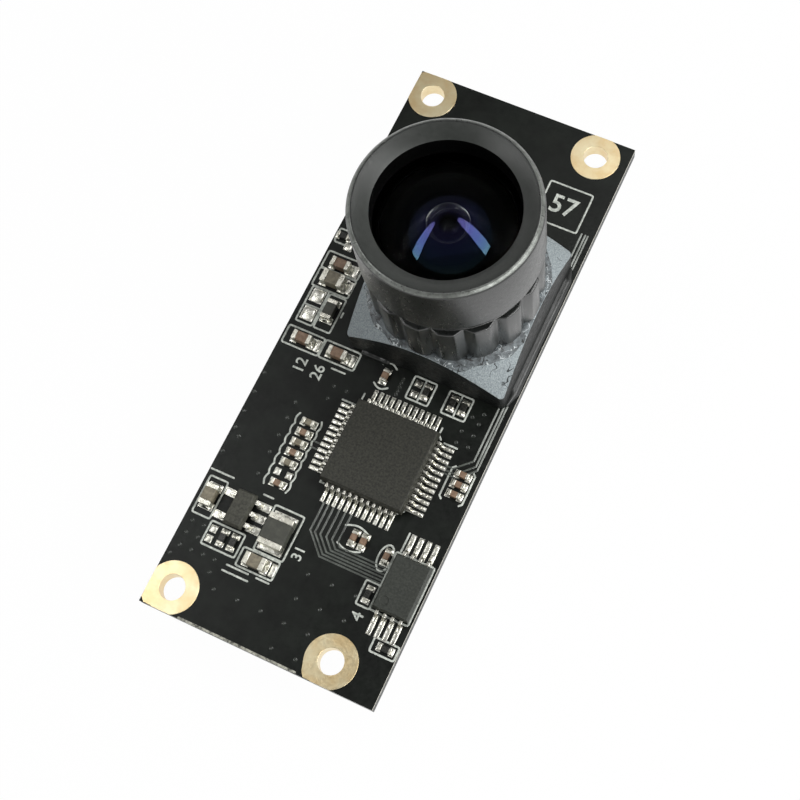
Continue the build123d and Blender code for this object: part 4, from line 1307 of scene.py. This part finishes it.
    def ring(self) -> None:
        """Retaining ring whose face is dished down to the glass."""
        low = box_of("front_retaining_ring")[0][2]
        corners = np.array([
            (self.ring_radius, self.front - 0.01), (self.ring_radius, low), (self.opening, low),
            (self.opening, self.front - self.dish),
        ])
        shape = self.turned(rounded(corners, 0.02, 3), around(384))
        ring = self.bench.from_surface(
            shape, "dished_retaining_ring", Finishes.ring_anodise, "anodised_barrel", ("front_retaining_ring",)
        )
        self.bench.zoned(ring, Finishes.inner_anodise, self.in_opening)

    def in_opening(self, faces: np.ndarray) -> np.ndarray:
        """Faces of the ring's opening."""
        return self.reach(faces) < self.opening + 0.015

    def glass(self) -> None:
        """Three lenses that can be seen, each a closed outline of arcs turned about the axis."""
        rim, second_top = self.glass_seat + self.glass_rim, self.web_top + self.second_height
        front_radius = self.ring_radius - self.play / 2
        second_radius, third_radius = self.front_bore - self.play, self.rear_bore - self.play
        shapes = (
            ("front_meniscus_lens", "front_lens", Finishes.front_glass, [
                *self.face(rim, self.dome_curve, self.opening - 0.05),
                (front_radius, rim), (front_radius, self.glass_seat),
                *self.face(self.glass_seat, self.hollow_curve, self.hollow_aperture)[::-1],
            ]),
            ("second_hollow_lens", "second_lens", Finishes.inner_glass, [
                (0.0, second_top), (second_radius, second_top), (second_radius, self.web_top),
                *self.face(self.web_top, self.second_curve, self.second_aperture)[::-1],
            ]),
            ("third_lens_element", "third_lens", Finishes.inner_glass, [
                *self.face(self.rear_seat, self.third_curve, self.third_aperture),
                (third_radius, self.rear_seat), (third_radius, self.third_bottom), (0.0, self.third_bottom),
            ]),
        )
        lenses = [
            self.bench.from_surface(self.turned(np.array(outline), around(256)), name, finish, "lens_glass", (node,))
            for name, node, finish, outline in shapes
        ]
        for reach, finish in Finishes.inner_faces:
            self.bench.zoned(lenses[0], finish, partial(self.in_zone, reach))

    def in_zone(self, reach: float, faces: np.ndarray) -> np.ndarray:
        """Faces of the front lens's hollow back, from a radius outwards."""
        hollow = (faces[:, 5] < -0.5) & (faces[:, 2] > self.glass_seat + 0.01)
        return hollow & (self.reach(faces) >= reach)

    def cell(self) -> None:
        """Funnel-shaped cell under the front lens, with a bead lens in its mouth and the entrance pupil below.

        The funnel fills the front spacer's place and slopes in to a bright-edged collar. All
        its faces are one closed outline turned about the axis.
        """
        crest, bead_radius, bead_base = 15.38, self.pupil_radius + 0.07, 14.9
        outline = np.array([
            (4.53, 13.12), (4.53, 14.63), (3.75, 14.63), (2.7, 14.75), (self.collar_radius, crest),
            (self.collar_radius - 0.1, 15.44), (self.collar_radius - 0.2, crest), (1.24, 15.08), (1.18, 15.1),
            (1.12, bead_base), (self.pupil_radius + 0.04, bead_base), (self.pupil_radius, 14.6), (1.2, 14.2),
            (1.3, 13.3),
        ])
        cell = self.bench.from_surface(
            self.turned(rounded(outline, 0.05, 3), around(128)), "front_cell_funnel", Finishes.inner_anodise,
            "anodised_barrel", ("front_spacer_ring",),
        )
        self.bench.zoned(cell, Finishes.collar_anodise, self.at_collar)
        bead = np.array([*self.face(14.93, 0.8, bead_radius), (bead_radius, bead_base), (0.0, bead_base)])
        self.bench.from_surface(
            self.turned(bead, around(128)), "entrance_bead_lens", Finishes.bead_glass, "lens_glass"
        )

    def at_collar(self, faces: np.ndarray) -> np.ndarray:
        """Faces of the funnel's collar that look towards the axis."""
        reach = self.reach(faces)
        inwards = ((faces[:, :2] - self.centre) * faces[:, 3:5]).sum(axis=1) < 0
        return (reach < self.collar_radius + 0.03) & (reach > 1.1) & (faces[:, 2] > 14.85) & inwards

    @staticmethod
    def face(rim: float, curve: float, aperture: float) -> np.ndarray:
        """Spherical face from the axis out to its aperture, where it meets the rim's height."""
        edge = math.degrees(math.acos(aperture / curve))
        centre = rim - math.sqrt(curve**2 - aperture**2)
        points = arc(centre, curve, 90.0, edge, 24)
        points[0, 0] = 0.0
        return points

    def build(self) -> None:
        """Build the lens and dress the pieces deep inside it."""
        self.barrel()
        self.ring()
        self.glass()
        self.cell()
        for node, finish in {
            "aperture_stop": Finishes.inner_anodise, "rear_spacer_ring": Finishes.inner_anodise,
            "rear_retaining_ring": Finishes.inner_anodise, "rear_lens": Finishes.inner_glass,
            "infrared_filter": Finishes.filter_glass, "sensor_cover_glass": Finishes.front_glass,
            "image_sensor_package": Finishes.ceramic, "image_sensor_die": Finishes.silicon,
        }.items():
            self.bench.dressed(node, finish)


@dataclass
class Underside:
    """Cable connector and clock crystal under the board."""

    bench: Bench

    def build(self) -> None:
        """Round off the connector, its contacts and the crystal."""
        for node, name, finish, slot, edge in (
            ("connector_housing", "cable_connector", Finishes.connector, "connector_plastic", 0.12),
            ("connector_contacts", "tinned_connector_contacts", Finishes.lead_tin, "tinned_leads", 0.05),
            ("connector_anchor_tabs", "tinned_connector_anchor_tabs", Finishes.lead_tin, "tinned_leads", 0.06),
            ("crystal_base", "crystal_ceramic_base", Finishes.ceramic, "package_ceramic", 0.05),
            ("crystal_lid", "crystal_metal_lid", Finishes.crystal_metal, "crystal_metal", 0.08),
        ):
            self.bench.refined((node,), name, finish, slot, edge)


class Rays(Enum):
    """Rays that are shown the white background."""

    CAMERA = "Is Camera Ray"
    GLOSSY = "Is Glossy Ray"
    TRANSMISSION = "Is Transmission Ray"


class Lamp(Enum):
    """Outline of a lamp's bright face."""

    STRIP = "ELLIPSE"
    PANEL = "RECTANGLE"


@dataclass(frozen=True)
class Softbox:
    """Long soft lamp between two bearings from the object.

    A bearing is an azimuth from +X and an elevation, in degrees. The radiance is the
    brightness of the lamp's face, where 1 is white.
    """

    name: str
    first: tuple[float, float]
    last: tuple[float, float]
    width: float
    radiance: float
    lamp: Lamp = Lamp.STRIP
    distance: float = 260.0

    @staticmethod
    def direction(bearing: tuple[float, float]) -> Vector:
        """Unit vector of a bearing."""
        around, up = math.radians(bearing[0]), math.radians(bearing[1])
        return Vector((math.cos(around) * math.cos(up), math.sin(around) * math.cos(up), math.sin(up)))

    def build(self, target: Vector) -> None:
        """Hang the lamp with its long side from the first bearing to the last, facing the target."""
        first, last = (self.direction(bearing) * self.distance for bearing in (self.first, self.last))
        middle = (first + last) / 2
        outward = middle.normalized()
        along = last - first
        along = (along - outward * along.dot(outward)).normalized()
        data = bpy.data.lights.new(self.name, "AREA")
        data.shape = self.lamp.value
        data.size, data.size_y = (last - first).length * MM, self.width * MM
        area = data.size * data.size_y * (math.pi / 4 if self.lamp is Lamp.STRIP else 1.0)
        data.energy = self.radiance * math.pi * area
        hung = bpy.data.objects.new(self.name, data)
        axes = Matrix((along, outward.cross(along), outward)).transposed().to_4x4()
        hung.matrix_world = Matrix.Translation((target + middle) * MM) @ axes
        hung.visible_camera = False
        bpy.context.scene.collection.objects.link(hung)


@dataclass
class Studio:
    """Camera at the photograph's angle, a pale sweep, and soft lamps round the object."""

    camera_place: tuple[float, float, float] = (25.939, -28.880, 102.256)
    aim: tuple[float, float, float] = (5.959, 2.246, 1.2)
    up_heading: float = 114.635
    focal_length: float = 61.857
    shift: tuple[float, float] = (-0.10, -0.04)
    flat_radius: float = 500.0
    floor_radius: float = 900.0
    wall_height: float = 400.0
    floor_gap: float = 0.05
    world_level: float = 0.15
    paper_glow: float = 0.98
    lamp_target: tuple[float, float, float] = (2.4, 3.0, 8.0)
    lamps: tuple[Softbox, ...] = (
        Softbox("right_strip_softbox", (104.0, 60.0), (4.0, 40.0), 41.0, 7.5),
        Softbox("left_strip_softbox", (147.0, 59.0), (236.0, 35.0), 34.0, 6.7),
        Softbox("overhead_softbox", (-57.0, 80.0), (123.0, 45.0), 260.0, 0.12, Lamp.PANEL),
        Softbox("low_right_softbox", (-42.0, 22.0), (30.0, 22.0), 62.0, 8.0, Lamp.PANEL),
    )

    def camera(self) -> None:
        """Camera looking from its place to its aim, with the heading that is up in the picture."""
        place, aim = Vector(self.camera_place), Vector(self.aim)
        heading = math.radians(self.up_heading)
        backward = (place - aim).normalized()
        right = Vector((math.cos(heading), math.sin(heading), 0.0)).cross(backward).normalized()
        up = backward.cross(right)
        data = bpy.data.cameras.new("photo_camera")
        data.lens = self.focal_length
        data.shift_x, data.shift_y = self.shift
        data.clip_start = 0.001
        camera = bpy.data.objects.new("photo_camera", data)
        camera.matrix_world = Matrix.Translation(place * MM) @ Matrix((right, up, backward)).transposed().to_4x4()
        bpy.context.scene.collection.objects.link(camera)
        bpy.context.scene.camera = camera

    def sweep(self, lowest: float) -> None:
        """White sweep: flat under the object, then z = wall height * share squared out to its rim."""
        radius = np.concatenate([[0.0, 60.0, 200.0], np.linspace(self.flat_radius, self.floor_radius, 12)])
        share = np.clip((radius - self.flat_radius) / (self.floor_radius - self.flat_radius), 0, 1)
        height = lowest - self.floor_gap + self.wall_height * share**2
        mesh = Surface.revolved(radius[:, None], height[:, None], around(96)).mesh("studio_sweep")
        mesh.polygons.foreach_set("use_smooth", np.ones(len(mesh.polygons), bool))
        mesh.materials.append(self.paper())
        sweep = bpy.data.objects.new("studio_sweep", mesh)
        bpy.context.scene.collection.objects.link(sweep)
        sweep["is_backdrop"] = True

    @staticmethod
    def shown(tree: bpy.types.NodeTree) -> bpy.types.NodeSocket:
        """1 for every kind of ray that is shown the white background, and 0 for the rest."""
        total = 0.0
        for kind in Rays:
            ray = add_node(tree, "ShaderNodeLightPath", {}, kind.value)
            total = add_node(tree, "ShaderNodeMath", {0: ray, 1: total}, operation="MAXIMUM")
        return total

    def paper(self) -> bpy.types.Material:
        """White paper: mostly plain white to the rays that show it, and plain diffuse to the rest."""
        made = bpy.data.materials.new("white_paper_sweep")
        tree = clean_tree(made)
        diffuse = add_node(tree, "ShaderNodeBsdfDiffuse", {0: linear("#f2f2f2")})
        glow = add_node(tree, "ShaderNodeEmission", {0: (1.0, 1.0, 1.0, 1.0), 1: 1.0})
        share = add_node(tree, "ShaderNodeMath", {0: self.shown(tree), 1: self.paper_glow}, operation="MULTIPLY")
        mixed = add_node(tree, "ShaderNodeMixShader", {0: share, 1: diffuse, 2: glow})
        add_node(tree, "ShaderNodeOutputMaterial", {0: mixed})
        return made

    def world(self) -> None:
        """Dim, even surroundings."""
        world = bpy.data.worlds.new("studio_world")
        bpy.context.scene.world = world
        tree = clean_tree(world)
        glow = add_node(tree, "ShaderNodeBackground", {0: (1.0, 1.0, 1.0, 1.0), 1: self.world_level})
        add_node(tree, "ShaderNodeOutputWorld", {0: glow})

    def build(self, lowest: float) -> None:
        """Set up the camera, the lamps and the sweep."""
        bpy.context.scene.view_settings.view_transform = "Standard"
        self.camera()
        self.world()
        for lamp in self.lamps:
            lamp.build(Vector(self.lamp_target))
        self.sweep(lowest)


def main() -> None:
    """Build the camera module in order, then the studio round it."""
    logging.basicConfig(level=logging.INFO, format="%(message)s")
    cad_box = [list(corner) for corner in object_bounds()]
    bench = Bench()
    Board(bench).build()
    SolderWork(bench).build()
    Chips(bench).build()
    LensHolder(bench).build()
    Lens(bench).build()
    Underside(bench).build()
    Studio().build(cad_box[0][2] / MM)
    bpy.context.view_layer.update()


if __name__ == "__main__":
    main()
